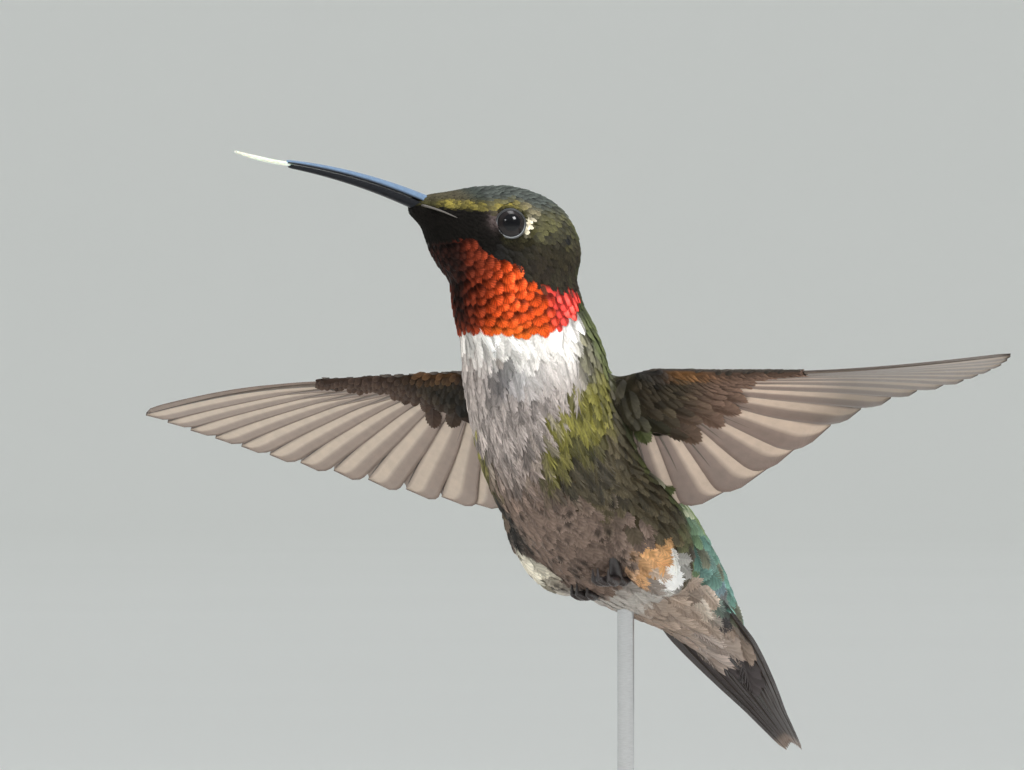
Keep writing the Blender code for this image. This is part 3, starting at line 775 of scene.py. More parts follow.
def buff_share(at):
    """The warm buff patch on each side of the rear belly."""
    middle = mound((np.abs(at.left) - 7.2, 1.9), (at.forward + 4.4, 1.7), (at.up + 8.9, 1.9))
    return 0.9 * ease(middle + 0.16 * flecks(at.points), 0.25, 0.85)


def tuft_share(at):
    """The white tuft behind each buff patch."""
    middle = mound((np.abs(at.left) - 7.4, 2.0), (at.forward + 7.3, 1.6), (at.up + 9.7, 1.6))
    return ease(middle + 0.1 * flecks(at.points), 0.35, 0.75)


def from_line(at, start, end):
    """How far places are from a straight line between two places on the bird."""
    start, run = np.array(start), np.array(end) - np.array(start)
    offset = np.stack([at.left, at.forward, at.up], 1) - start
    share = np.clip(offset @ run / (run @ run), 0, 1)
    return np.linalg.norm(offset - share[:, None] * run, axis=1)


# Degrees round the body where the front's colours end, at even steps from 13 to 52 mm along it, and
# where the back's begin, from 12 to 52 mm.
FRONT_EDGE = [105.0, 105, 100, 85, 60, 35, 28, 45, 61, 70, 52, 54, 50, 48]
BACK_EDGE = [112.0, 108, 112, 116, 118, 112, 104, 94, 84, 78]
FLUFF_LINE = ((-6.5, -2.3, -8.9), (-5.6, -4.0, -10.2))
# Where a band of painted shadow lies on the far flank, between belly and back.
WEDGE_SHADOW_LINE = ((-4.6, 4.4, -3.8), (-5.9, -0.2, -6.9))
PALE_LINE = ((7.1, -4.9, -0.8), (5.6, -12.2, -4.1))


def trunk_colour(at):
    """Front, sides and back of neck, trunk and rump, with painted shade and shadow among them."""
    flecked = flecks(at.points)
    reach, around = at.reach + 0.5 * patches(at.points), at.round + 5 * flecked
    count = len(at.points)
    # The breast's grey comes in sooner near the middle of its front and on its right side, as painted shade
    # on the side away from the light.
    front = layered(
        WHITE, count,
        (BREAST_GREY, ease(reach - 0.15 * at.left + 2.8 * ease(at.left, 3.0, 0.0), 18.9, 23.8)),
        (BELLY_BROWN, ease(reach + 0.035 * around, 26.8, 32.6)),
    )
    front = layered(
        front * (1 + 0.12 * window(reach, 30.0, 36.5, 1.5))[:, None], count,
        (VENT_WHITE, ease(reach, 43.6, 45.6)),
        (UNDERTAIL, ease(reach + 0.06 * around, 49.0, 51.0)),
        (UNDERTAIL_TIP, ease(reach, 57.0, 61.0) * (0.7 + 0.3 * flecked)),
    )
    side = layered(
        NECK_OLIVE, count,
        (FLANK_GREEN, ease(reach, 22.5, 25.5)),
        (FLANK_BROWN, ease(reach + 0.02 * (around - 60), 27.8, 31.8)),
        (UNDERTAIL, ease(reach, 46.5, 48.5)),
        (TAIL_SIDE_PALE, window(reach, 52.5, 57.0, 1.0) * window(around, 52, 64, 4)),
        (TAIL_SIDE_BLACK, ease(reach + 0.1 * (around - 60), 56.0, 57.5) * ease(around, 52, 60)),
    )
    back = layered(
        BACK_GREEN, count,
        (RUMP_TEAL, ease(reach, 42.0, 48.0)),
        (RUMP_BLUE, ease(patches(at.points * 1.7), 0.2, 0.8) * ease(reach, 50.0, 55.0)),
        (RUMP_BROWN, 0.8 * ease(flecks(at.points * 0.8), 0.35, 0.8) * ease(reach, 46.0, 50.0)),
    )
    edge = smooth_number(FRONT_EDGE, (at.reach - 13) / 39)
    past_front = ease(around + 8 * streaks(at.points), edge - 8, edge + 8)
    colour = mix(front, side * (1 + 0.35 * flecked)[:, None], past_front)
    top = smooth_number(BACK_EDGE, (at.reach - 12) / 40) + 14 * ease(at.reach, 57, 60.5)
    # Painted shade: a dark crease down the breast, with a broader blue-grey painted shadow beside it.
    fold_shade = mound((at.left - 0.9 - 0.5 * (at.up - 8.2), 0.6), (at.up - 8.6, 2.0)) * (at.forward > 5)
    fold_shadow = mound((at.left - 2.2, 1.4), (at.up - 8.6, 1.1)) * (at.forward > 4)
    # Painted shadow on the flank under each wing's root.
    pit_shadow = mound((np.abs(at.left) - 7.0, 2.2), (at.forward + 1.4, 2.3), (at.up - 6.6, 3.0))
    strands = mound((at.left - 5.8, 0.9), (at.forward + 2.9, 0.7), (at.up + 9.4, 0.9))
    fluff = ease(from_line(at, *FLUFF_LINE), 1.9, 0.9)
    near, far = (at.left > 0), (at.left <= 0)
    return layered(
        mix(colour, back, ease(around, top - 6, top + 6)), count,
        (RUMP_GREEN, (0.5 + 0.5 * flecked) * window(reach, 44, 50, 3) * (around > 80)),
        (FOLD_SHADOW_BLUE, 0.6 * fold_shadow),
        (FOLD_SHADE_DARK, 0.85 * fold_shade),
        (PIT_SHADOW, ease(pit_shadow * ease(at.up, 10.6, 8.8), 0.25, 0.7) * (around > 60)),
        (WEDGE_SHADOW, 0.95 * ease(from_line(at, *WEDGE_SHADOW_LINE), 2.1, 1.4)),
        (PALE_EDGE, 0.6 * ease(from_line(at, *PALE_LINE), 0.5, 0.2)),
        (STRAND_PINK, 0.8 * ease(strands + 0.3 * flecked, 0.45, 0.8)),
        (BUFF, buff_share(at) * near),
        (CREAM, np.maximum(fluff, tuft_share(at)) * far),
        (TUFT_WHITE, tuft_share(at) * near),
    )


def head_colour(at):
    """Crown, golden brow, black face, cheek, and the white spot behind the eye."""
    side, forward, up = np.abs(at.head_left), at.head_forward, at.head_up
    count = len(at.points)
    flecked = flecks(at.points)
    olive = np.tile(HEAD_OLIVE, (count, 1)) * (1 + 0.45 * flecked)[:, None]
    colour = layered(olive, count, (CROWN, ease(up, 3.4, 4.9)))
    cheek = window(up + 0.25 * forward, -6.0, 1.3, 0.9) * ease(forward, 4.2, 2.6)
    colour = layered(
        colour * (1 + 0.12 * ease(forward, -0.5, 4.5) * ease(up, 3.4, 4.6))[:, None], count,
        (FORECROWN_BROWN, 0.7 * ease(forward, 5.6, 7.6) * ease(up, 3.4, 4.2)),
        (BACK_GREEN, 0.6 * ease(forward, -3.0, -5.5)),
        (CHEEK_BROWN, cheek * (0.8 + 0.3 * flecked)),
    )
    above_brow = up - 3.5 - 0.75 * ease(forward, 6.2, 3.0) + 0.4 * ease(forward, 2.2, 0.6)
    brow = mound((above_brow, 0.42)) * window(forward, 0.4, 9.8, 0.7) * ease(side, 0.9, 1.6)
    gold = layered(BROW_TAN, count, (GOLD, ease(forward, 1.4, 3.0)))
    shown = (ease(brow, 0.25, 0.9) * (0.7 + 0.5 * streaks(at.points)))[:, None]
    behind = mound((up - 2.6, 1.5), (forward + 2.0, 1.5)) * (0.1 + 0.6 * flecked)
    under_bill = ease(up + 0.55 * (forward - 4.2), 1.0, -0.2) * ease(forward, 0.5, 4.0)
    white = mound((forward - 1.36 + 0.30 * (up - 2.5), 0.27), (up - 2.55, 0.9)) * (side > 2.5)
    return layered(
        colour * (1 - shown) + gold * shown, count,
        (EAR_OLIVE, behind),
        (FACE_BLACK, ease(up, 3.35, 3.05) * ease(forward, 3.3, 4.3)),
        (FACE_BLACK, 0.9 * under_bill * ease(up, -4.0, -2.0)),
        (LORE_GREY, 0.6 * mound((forward - 4.75, 0.42), (up - 2.5, 0.5))),
        (EYE_SPOT, ease(white + 0.12 * flecked, 0.3, 0.8) * 0.95),
    )


def wing_colour(at):
    """The small feathers of the wings: bronze green above, dark olive brown below, with painted shade and
    sheen.
    """
    count = len(at.points)
    flecked = flecks(at.points)[:, None]
    on_left = at.left > 0
    start = np.where(on_left, 8.0, 11.0)
    brown_below = ease(at.wing_out + at.wing_back, start, start + 5)
    below = layered(np.tile(WING_DARK, (count, 1)) * (1 + 0.5 * flecked), count, (COVERT_BROWN, brown_below))
    rust = mound((at.wing_back + 0.1, 0.3), (at.wing_out - 9.0, 2.2)) * np.where(on_left, 0.6, 0.3)
    # The right wing's under side is painted darker, and its rust fainter, as painted shade on the far wing.
    below = layered(
        below * np.where(on_left, 1.0, 0.45)[:, None], count,
        (RUST, rust),
        # A painted blue sheen on the dark leading edge by the shoulder.
        (LEADING_EDGE_SHEEN, mound((at.wing_back + 0.4, 0.5)) * ease(at.wing_out, 8.0, 5.0)),
    )
    brown_above = np.maximum(ease(at.wing_out, 12, 18), ease(at.wing_back, 1.6, 0.4))
    above = layered(np.tile(WING_GREEN, (count, 1)) * (1 + 0.4 * flecked), count, (WING_BROWN, brown_above))
    upper = ease(at.wing_over, -0.1, 0.2)[:, None]
    return below * (1 - upper) + above * upper


def markings_and_painted_light(at):
    """The bird's colour at each place, for skin and feathers alike, with painted shade, shadow and sheen."""
    on_head = (ease(at.reach, 17.2, 15.6) * (at.head_up > -5.5))[:, None]
    colour = trunk_colour(at) * (1 - on_head) + head_colour(at) * on_head
    throat = gorget_share(at)[:, None]
    colour = colour * (1 - throat) + gorget_colour_and_sheen(at) * throat
    on_wing = at.on_wing[:, None]
    return np.clip(colour * (1 - on_wing) + wing_colour(at) * on_wing, 0.002, 1.0)


# How a kind of small feather is made: its length, then its width, spacing and lift as shares of that,
# its barbs a side, how ragged they are, the gap between them, how dark it is at its root, its own dark
# base with painted shade where feathers overlap it, how much neighbouring barbs differ in painted
# shade, and how far it strays from the lie of the coat, in degrees.
Kind = namedtuple("Kind", "length width spacing lift barbs ragged gap root stripe stray")
KINDS = {
    "face": Kind(0.75, 0.55, 0.42, 0.12, 4, 0.12, 0.10, 0.6, 0.20, 7),
    "crown": Kind(1.15, 0.68, 0.48, 0.13, 6, 0.10, 0.05, 0.5, 0.20, 6),
    "cheek": Kind(1.20, 0.55, 0.42, 0.12, 6, 0.20, 0.20, 0.6, 0.25, 8),
    "gorget": Kind(1.60, 0.90, 0.54, 0.12, 12, 0.03, 0.16, 0.16, 0.34, 3),
    "collar": Kind(2.50, 0.34, 0.25, 0.11, 10, 0.30, 0.28, 0.88, 0.15, 12),
    "breast": Kind(3.00, 0.27, 0.24, 0.11, 9, 0.52, 0.48, 0.72, 0.35, 12),
    "belly": Kind(2.50, 0.62, 0.38, 0.11, 9, 0.26, 0.25, 0.7, 0.20, 11),
    "flank": Kind(2.20, 0.52, 0.36, 0.11, 9, 0.25, 0.22, 0.55, 0.25, 10),
    "back": Kind(2.50, 0.66, 0.40, 0.11, 9, 0.08, 0.05, 0.5, 0.20, 6),
    "vent": Kind(3.20, 0.50, 0.30, 0.11, 10, 0.38, 0.45, 0.9, 0.15, 15),
    "undertail": Kind(4.60, 0.36, 0.22, 0.06, 11, 0.20, 0.15, 0.80, 0.20, 5),
    "rump": Kind(3.40, 0.60, 0.38, 0.08, 10, 0.08, 0.05, 0.5, 0.20, 5),
    "wing": Kind(2.20, 0.62, 0.42, 0.08, 8, 0.06, 0.04, 0.6, 0.15, 5),
}
KIND_NAMES = list(KINDS)


def of_kind(kind, field):
    """One number of each feather's kind."""
    return np.array([getattr(sort, field) for sort in KINDS.values()])[kind]


def is_kind(kind, name):
    """Which feathers are of the named kind."""
    return kind == KIND_NAMES.index(name)


def kinds_at(at):
    """The kind of feather at each place, as a number in KIND_NAMES."""
    kind = np.full(len(at.points), KIND_NAMES.index("back"))

    def paint(name, where):
        kind[where] = KIND_NAMES.index(name)

    bottom = 31 + 0.02 * at.round
    paint("flank", (at.reach > 19) & (at.reach < 46) & (at.round < 108))
    paint("breast", (at.reach > 22) & (at.reach < bottom) & (at.round < 74))
    paint("collar", (at.reach > 15) & (at.reach <= 22) & (at.round < 86))
    paint("belly", (at.reach >= bottom) & (at.reach < 43.5) & (at.round < 66))
    paint("vent", (at.reach >= 43.5) & (at.reach < 50) & (at.round < 80))
    paint("undertail", (at.reach >= 50) & (at.round < 92))
    low_edge = 80 + 12 * ease(at.reach, 57, 60.5)
    paint("rump", (at.reach >= 45) & (at.round >= low_edge))
    paint("vent", (buff_share(at) > 0.3) | (tuft_share(at) > 0.3))
    on_head = (at.reach < 16.5) & (at.head_up > -5.5)
    paint("crown", on_head)
    paint("cheek", on_head & (at.head_up < 1.2))
    aside = from_eye(at.points)
    near_bill = at.head_forward > 4.6 + 0.15 * at.head_up
    paint("face", (at.reach < 15) & (near_bill | (aside < 2.3)))
    paint("gorget", gorget_share(at) > 0.5)
    paint("wing", at.on_wing > 0.5)
    return kind


def feather_lengths(at, kind):
    """Each feather's length: its kind's, less near the bill and eyes, and along the wing's front."""
    length = of_kind(kind, "length")
    face = ease(at.head_forward, 10.0, 4.0)
    on_head = at.reach < 15
    length = np.where(on_head, length * (0.62 + 0.38 * face), length)
    aside = from_eye(at.points)
    length = np.where(on_head, np.minimum(length, 0.42 + 0.55 * np.maximum(aside - EYE_OPENING, 0)), length)
    longest = 4.6 * ease(at.reach, 52.0, 60.0) * ease(at.round, 62, 30)
    length = np.where(is_kind(kind, "undertail"), length + longest, length)
    wing = 1.05 + 2.4 * ease(at.wing_back, 0.2, 6.0) * ease(at.wing_out, 24, 8)
    return np.where(is_kind(kind, "wing"), wing, length)


def average_over(values, quads, count, rounds):
    """Per-point values evened out over the surface."""
    values = values.astype(float)
    for _ in range(rounds):
        total = np.zeros(count)
        shares = np.zeros(count)
        middle = values[quads].mean(1)
        for corner in range(quads.shape[1]):
            total += np.bincount(quads[:, corner], middle, count)
            shares += np.bincount(quads[:, corner], minlength=count)
        values = total / np.maximum(shares, 1)
    return values


points, quads, normals = flesh()
at = Places(points)
kind = kinds_at(at)
length = feather_lengths(at, kind)
depth = average_over(0.03 + 0.55 * of_kind(kind, "lift") * length, quads, len(points), 12)
points = points - normals * np.where(at.on_wing > 0.3, np.minimum(depth, 0.16), depth)[:, None]


# How far the skin stands off the eyeball as a lid, and how far inside it is at the opening.
LID_DEPTH = 0.13
SOCKET_DEPTH = 0.35


def lids(points):
    """The skin drawn in under the eyeballs at their openings, and drawn up round them as lids."""
    moved = points.copy()
    for side in (1, -1):
        middle, axis = eye_of(side)
        offset = points - middle
        ahead = offset @ axis
        flat = offset - ahead[:, None] * axis
        aside = np.linalg.norm(flat, axis=1)
        near = (ahead > -0.4) & (aside < LID_REACH)
        away = np.linalg.norm(offset, axis=1)
        wanted = np.where(aside < EYE_OPENING, EYE_RADIUS - SOCKET_DEPTH, EYE_RADIUS + LID_DEPTH)
        share = ease(aside, LID_REACH, EYE_OPENING + 0.25)
        reach = away * (1 - share) + wanted * share
        opened = middle + offset / np.maximum(away, 1e-6)[:, None] * reach[:, None]
        moved[near] = opened[near]
    return moved


points = lids(points)
at = Places(points)
shaded_skin_colour = markings_and_painted_light(at)
# The skin shows only in gaps between feathers, so it is painted darker there as painted shade, dark skin
# more than pale.
shaded_skin_colour = shaded_skin_colour * (0.5 + 0.4 * shaded_skin_colour.mean(1, keepdims=True))

skin_finish = Finish("bird_skin", 0.85, Specular_IOR_Level=0.12)
skin_grain = skin_finish.noise(0.16, 4.0)
skin_finish.base(skin_finish.tinted(skin_finish.own_colour(), 0.35, skin_grain))
skin_finish.relief(skin_grain, 0.6, 0.08)
skin = make("skin", points, quads, skin_finish.material, shaded_skin_colour)
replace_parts(skin, "head", "neck", "trunk", "wing_left_arm", "wing_right_arm")

# ---------------------------------------------------------------- the coat

skin_mesh = skin.data
normals = np.empty(len(points) * 3, np.float32)
skin_mesh.vertex_normals.foreach_get("vector", normals)
normals = normals.reshape(-1, 3).astype(float)


def sheet_between(place, rows, columns):
    """A grid of points of a surface given by two shares, with its faces."""
    first, second = np.meshgrid(np.linspace(0, 1, rows), np.linspace(0, 1, columns), indexing="ij")
    return place(first.ravel(), second.ravel()), grid_faces(rows, columns)


def lying_surface():
    """What small feathers lie on: the skin, and past it the wings' and tail's middle surfaces."""
    parts = [(points, quads)]
    for side in WINGS:
        for lift in (-0.24, 0.24):

            def on_wing(a, b, side=side, lift=lift):
                return wing_point(side, *feather_place(a, b), lift)

            parts.append(sheet_between(on_wing, 40, 20))
    for over, droop in ((0.26, -0.30), (-0.14, -0.36)):

        def on_tail(a, b, over=over, droop=droop):
            across = 2 * a - 1
            return tail_point(across, b, over + droop * np.abs(across))

        parts.append(sheet_between(on_tail, 16, 20))
    every, faces = join(parts)
    return BVHTree.FromPolygons(every.tolist(), faces.tolist())


ground = lying_surface()
skin_ground = BVHTree.FromPolygons(points.tolist(), quads.tolist())


def nearest(tree, places):
    """The nearest point, normal and face of a surface for each place."""
    found = [tree.find_nearest(place) for place in places.tolist()]
    return tuple(np.array([hit[i] for hit in found]) for i in range(3))


def tree_of(places):
    """A search tree over these places."""
    tree = KDTree(len(places))
    for i, place in enumerate(places.tolist()):
        tree.insert(place, i)
    tree.balance()
    return tree


TRIES_PER_FEATHER = 9
EVENING_ROUNDS = 6
# How close feathers may be, and how close they are pushed to be, as shares of their spacing.
CLOSEST = 0.86
WANTED = 1.12


def scatter():
    """Places for feathers over the skin: spaced by their kind and size, then evened out."""
    kind = kinds_at(at)
    length = feather_lengths(at, kind)
    spacing = average_over(of_kind(kind, "spacing") * length, quads, len(points), 2)
    corners = points[quads]
    across = np.cross(corners[:, 2] - corners[:, 0], corners[:, 3] - corners[:, 1])
    area = 0.5 * np.linalg.norm(across, axis=1)
    face_spacing = spacing[quads].mean(1)
    aside = from_eye(corners.mean(1))
    from_bill = np.linalg.norm(corners.mean(1) - head_place(0.0, *FACE_END[:2]), axis=1)
    allowed = (aside > EYE_OPENING + 0.12) & (from_bill > 0.7)
    weight = area / face_spacing**2 * allowed
    count = int(TRIES_PER_FEATHER * weight.sum())
    chosen = random.choice(len(quads), count, p=weight / weight.sum())
    a, b = random.uniform(size=(2, count, 1))
    c = corners[chosen]
    tries = (c[:, 0] * (1 - a) + c[:, 1] * a) * (1 - b) + (c[:, 3] * (1 - a) + c[:, 2] * a) * b
    gaps = face_spacing[chosen]
    tree = tree_of(tries)
    taken = np.zeros(count, bool)
    kept = []
    for i in range(count):
        if taken[i]:
            continue
        kept.append(i)
        for _, j, _ in tree.find_range(tries[i].tolist(), gaps[i] * CLOSEST):
            taken[j] = True
    places, gaps = tries[kept], gaps[kept]
    for _ in range(EVENING_ROUNDS):
        tree = tree_of(places)
        near = np.array([[hit[1] for hit in tree.find_n(place, 7)] for place in places.tolist()])
        offset = places[:, None] - places[near[:, 1:]]
        away = np.linalg.norm(offset, axis=2, keepdims=True)
        push = offset / np.maximum(away, 1e-6) * np.clip(gaps[:, None, None] * WANTED - away, 0, None)
        places = nearest(skin_ground, places + 0.35 * push.sum(1) / 2)[0]
    place, _, face = nearest(skin_ground, places)
    open_ground = from_eye(place) > EYE_OPENING + 0.1
    return place[open_ground], face[open_ground]


def lie_of_coat(at, normal):
    """The way that feathers point: along the body's line, or across the wing, along the surface."""
    way = by_line(at.points, LINE_WAY, LIE_BLEND_MM)
    share = at.on_wing[:, None]
    way = unit(way) * (1 - share) + at.wing_way * share
    way = way - normal * (way * normal).sum(1, keepdims=True)
    return unit(way)


SHAFT_POINTS = 7
# Where the barbs' feet are on a shaft of length 1.
BARBS_START = 0.06
BARBED_LENGTH = 0.66


def vane(kind_name, variant):
    """A small feather of length 1: its shaft and its barbs, as strips that overlap like slats.

    Gives each point's place along and across and its lift, then its share out along its barb, and
    whether its barb is an odd one."""
    sort = KINDS[kind_name]
    barbs = sort.barbs
    dice = np.random.default_rng(100 * KIND_NAMES.index(kind_name) + variant)
    half = sort.width / 2
    points, faces = [], []

    def strip(line, halves, tilt, tints):
        start = len(points)
        tangent = unit(np.gradient(line, axis=0))
        beside = np.stack([-tangent[:, 1], tangent[:, 0]], 1)
        last = len(line) - 1
        for k in range(last):
            for edge in (-1, 1):
                spot = line[k] + beside[k] * halves[k] * edge
                points.append((*spot, tilt * edge, *tints(k / last)))
        points.append((*line[last], 0.0, *tints(1.0)))
        for k in range(last - 1):
            i = start + 2 * k
            faces.append((i, i + 1, i + 3))
            faces.append((i, i + 3, i + 2))
        i = start + 2 * (last - 1)
        faces.append((i, i + 1, i + 2))

    ends = []
    for i in range(barbs + 1):
        turn = math.radians(-52 + 138 * i / barbs)
        ends.append((half * math.cos(turn), 0.56 + 0.44 * math.sin(turn)))
    ends = np.array(ends)
    for side in (1, -1):
        for i in range(barbs):
            share = (i + 0.5) / barbs
            foot = np.array([0.0, BARBS_START + BARBED_LENGTH * share])
            end = (ends[i] + ends[i + 1]) / 2
            end = foot + (end - foot) * (1 + sort.ragged * dice.uniform(-1, 0.8))
            bend = np.array([end[0] * 0.55, foot[1] + (end[1] - foot[1]) * 0.32])
            t = np.array([0.0, 0.4, 0.75, 1.0])[:, None]
            line = foot * (1 - t) ** 2 + 2 * bend * t * (1 - t) + end * t**2
            line[:, 0] *= side
            near, far = 0.5 * BARBED_LENGTH / barbs, 0.62 * np.linalg.norm(ends[i + 1] - ends[i])
            halves = np.array([near * 0.8, 0.5 * (near + far), far * 0.95, 0]) * (1 - sort.gap)
            strip(line, halves, 0.022 * side, lambda along, i=i: (along, i % 2))
    # The shaft comes last, three pairs of points and its tip, and stands a little over the barbs.
    shaft = np.stack([np.zeros(4), np.linspace(0.0, 0.93, 4)], 1)
    strip(shaft, np.array([0.03, 0.024, 0.014, 0]), 0.0, lambda along: (0.2, 1))
    points = np.array(points)
    points[-SHAFT_POINTS:, 2] += 0.02
    points[:, 2] -= 0.30 * points[:, 0] ** 2 / half * 0.5
    return points, np.array(faces)


def drape(place, normal, way, length, tail_side):
    """Stations along each feather's line as it lies over what is under it, on its side of the tail."""
    stations = 5
    step = length[:, None] / (stations - 1)
    lines, overs, ways = [], [], []
    spot, over, along = place, normal, way
    for _ in range(stations):
        lines.append(spot)
        overs.append(over)
        ways.append(along)
        ahead = spot + along * step
        hit, turned, _ = nearest(ground, ahead)
        turned = turned * np.where(dots(turned, over) < 0, -1.0, 1.0)[:, None]
        free = np.linalg.norm(hit - ahead, axis=1, keepdims=True) > 0.3 * step + 0.08
        spot = clear_of_tail(np.where(free, ahead, hit), tail_side)
        over = unit(np.where(free, over, over * 0.4 + turned * 0.6))
        along = unit(along - over * (along * over).sum(1, keepdims=True))
    return np.stack(lines, 1), np.stack(overs, 1), np.stack(ways, 1)


def unwrap(at):
    """A place in the coat's map for each root: along and round the body, or out and over a wing."""
    around = at.turn / 360 + 0.5
    along = np.clip(at.reach / LINE_REACH[-1], 0, 1)
    body = np.stack([0.02 + 0.60 * around, 0.02 + 0.96 * along], 1)
    chord = np.clip((at.wing_back + 1) / 11, 0, 1) * 0.5 * np.where(at.wing_over > 0, 1, -1) + 0.5
    out = np.clip(at.wing_out / 25, 0, 1)
    lower = np.where(at.left > 0, 0.0, 0.5)
    wing = np.stack([0.65 + 0.33 * chord, 0.02 + lower + 0.46 * out], 1)
    return np.where((at.on_wing > 0.5)[:, None], wing, body)


# The size of each feather's patch in the coat's map.
PATCH = 0.003
VARIANTS = 5


def grow():
    """Small feathers as arrays with a row for each: where they stand, their kind and length, the side of a
    wing that they are on, and the line that each lies along, with the ways over and along it."""
    place, face = scatter()
    normal = unit(normals[quads[face]].mean(1))
    here = Places(place)
    # None grow from the rear edge of a wing's arm, between its upper and under side.
    edge_on = np.abs(dots(normal, here.wing_up)) < 0.4
    kept = ~((here.on_wing > 0.5) & (here.wing_back > 2.0) & edge_on)
    place, normal = place[kept], normal[kept]
    here = Places(place)
    kind = kinds_at(here)
    length = feather_lengths(here, kind) * random.uniform(0.86, 1.14, len(place))
    # The gorget's last row ends evenly.
    over_foot = here.head_up - gorget_foot(here.head_forward)
    to_foot = 0.95 + 0.9 * np.maximum(over_foot, 0)
    length = np.where(is_kind(kind, "gorget"), np.minimum(length, to_foot), length)
    way = lie_of_coat(here, normal)
    turn = np.radians(random.normal(0, 1, len(place)) * of_kind(kind, "stray"))[:, None]
    way = unit(way * np.cos(turn) + np.cross(normal, way) * np.sin(turn))
    tail_side = is_kind(kind, "rump") * 1 - is_kind(kind, "undertail") * 1
    line, over, along = drape(place, normal, way, length, tail_side)
    facing = np.sign(dots(normal, here.wing_up))
    ends = Places(line[:, -1])
    # Nor do any turn over a wing's edge, or turn aside from the body onto a wing.
    crossed = (ends.on_wing > 0.2) & (ends.wing_over * facing < 0.02)
    tipped = (facing > 0) & (dots(over[:, -1], here.wing_up) < 0.6)
    strayed = (here.on_wing > 0.5) & (here.wing_back > 1.0) & (crossed | tipped)
    turned_aside = dots(along[:, -1], way) < 0.85
    strayed = strayed | ((here.on_wing < 0.5) & (here.reach > 20) & (ends.on_wing > 0.2) & turned_aside)
    return tuple(rows[~strayed] for rows in (place, kind, length, facing, line, over, along))


def feather_colours(here, kind, facing, line):
    """Each feather's colour. A body feather takes that of the place that its outer half covers."""
    covered = 0.5 * (line[:, 2] + line[:, 3])
    there = Places(here.points + (covered - here.points) * ease(here.reach, 14, 20)[:, None])
    there.round = np.where(is_kind(kind, "rump"), np.maximum(there.round, 100), there.round)
    there.round = np.where(is_kind(kind, "undertail"), np.minimum(there.round, 78), there.round)
    there.wing_over = 0.5 * facing
    rooted = here.on_wing > 0.5
    there.on_wing = np.where(rooted, here.on_wing, there.on_wing * (facing != 0))
    there.wing_out = np.where(rooted, here.wing_out, there.wing_out)
    there.wing_back = np.where(rooted, here.wing_back, there.wing_back)
    colour = markings_and_painted_light(there)
    scaled = is_kind(kind, "gorget")
    colour[scaled] = gorget_colour_and_sheen(here)[scaled]
    return colour


def coat():
    """Every small feather, as one piece for each kind."""
    place, kind, length, facing, line, over, along = grow()
    here = Places(place)
    colour = feather_colours(here, kind, facing, line)
    downy = is_kind(kind, "breast") | (is_kind(kind, "collar") & (here.left < 2.5))
    varied = np.where(downy, random.choice([0.6, 1.0, 1.0, 1.2], len(place)), 1)
    brightness = random.normal(1, 0.12, len(place)) * varied
    uv = unwrap(here)
    side = np.cross(over, along)
    pieces = {}
    for name, sort in KINDS.items():
        parts = []
        which = random.integers(0, VARIANTS, len(place))
        for variant in range(VARIANTS):
            chosen = np.flatnonzero(is_kind(kind, name) & (which == variant))
            if not len(chosen):
                continue
            shape, faces = vane(name, variant)
            lean = shape[:, 1]
            station = np.clip(lean, 0, 1) * 4
            low = np.minimum(station.astype(int), 3)
            part = (station - low)[None, :, None]

            def between(held):
                return held[chosen][:, low] * (1 - part) + held[chosen][:, low + 1] * part

            size = length[chosen][:, None]
            past = np.maximum(lean - 1, 0)[None] * size
            lifted = sort.lift * random.uniform(0.85, 1.2, (len(chosen), 1)) * lean * (1 - 0.12 * lean)
            rise = 0.03 + size * (lifted + shape[:, 2])
            spots = (
                between(line)
                + between(side) * (shape[:, 0][None] * size)[..., None]
                + between(over) * rise[..., None]
                + between(along) * past[..., None]
            )
            # Each feather darkens towards its root, partly its own dark base and partly painted shade where
            # the feathers over it lie, and neighbouring barbs alternate in painted shade. The gorget's rear
            # corners get paler roots.
            late = 0.12 if name == "gorget" else 0.0
            behind = ease(here.head_forward[chosen], -2.8, -4.0)[:, None]
            root = sort.root + 0.45 * behind * (name == "gorget")
            shade = root + (1 - root) * ease(lean, 0.2 + late, 0.62 + late)
            shade = shade * (1 + sort.stripe * (shape[:, 4] - 0.5)) * brightness[chosen][:, None]
            tint = colour[chosen][:, None] * shade[..., None]
            tint = fringe_and_edge_shade(name, tint, shape, here, chosen)
            patch = (np.stack([shape[:, 0] + 0.5, shape[:, 1]], 1) - 0.5) * PATCH
            maps = uv[chosen][:, None] + patch[None]
            count = len(shape)
            every = (faces[None] + (np.arange(len(chosen)) * count)[:, None, None]).reshape(-1, 3)
            parts.append((spots.reshape(-1, 3), every, tint.reshape(-1, 3), maps.reshape(-1, 2)))
        if parts:
            pieces[name] = join(parts)
    return pieces


# How much paler the edges of each kind's feathers are. Those of the gorget are darker: their own dark
# margin with painted shade where the scales overlap.
EDGE_TONES = {
    "gorget": -0.45, "undertail": 0.5, "back": 0.5, "wing": 0.5, "rump": 0.6, "crown": 0.6, "flank": 0.7,
}
BELLY_EDGE = (0.33, 0.255, 0.21)


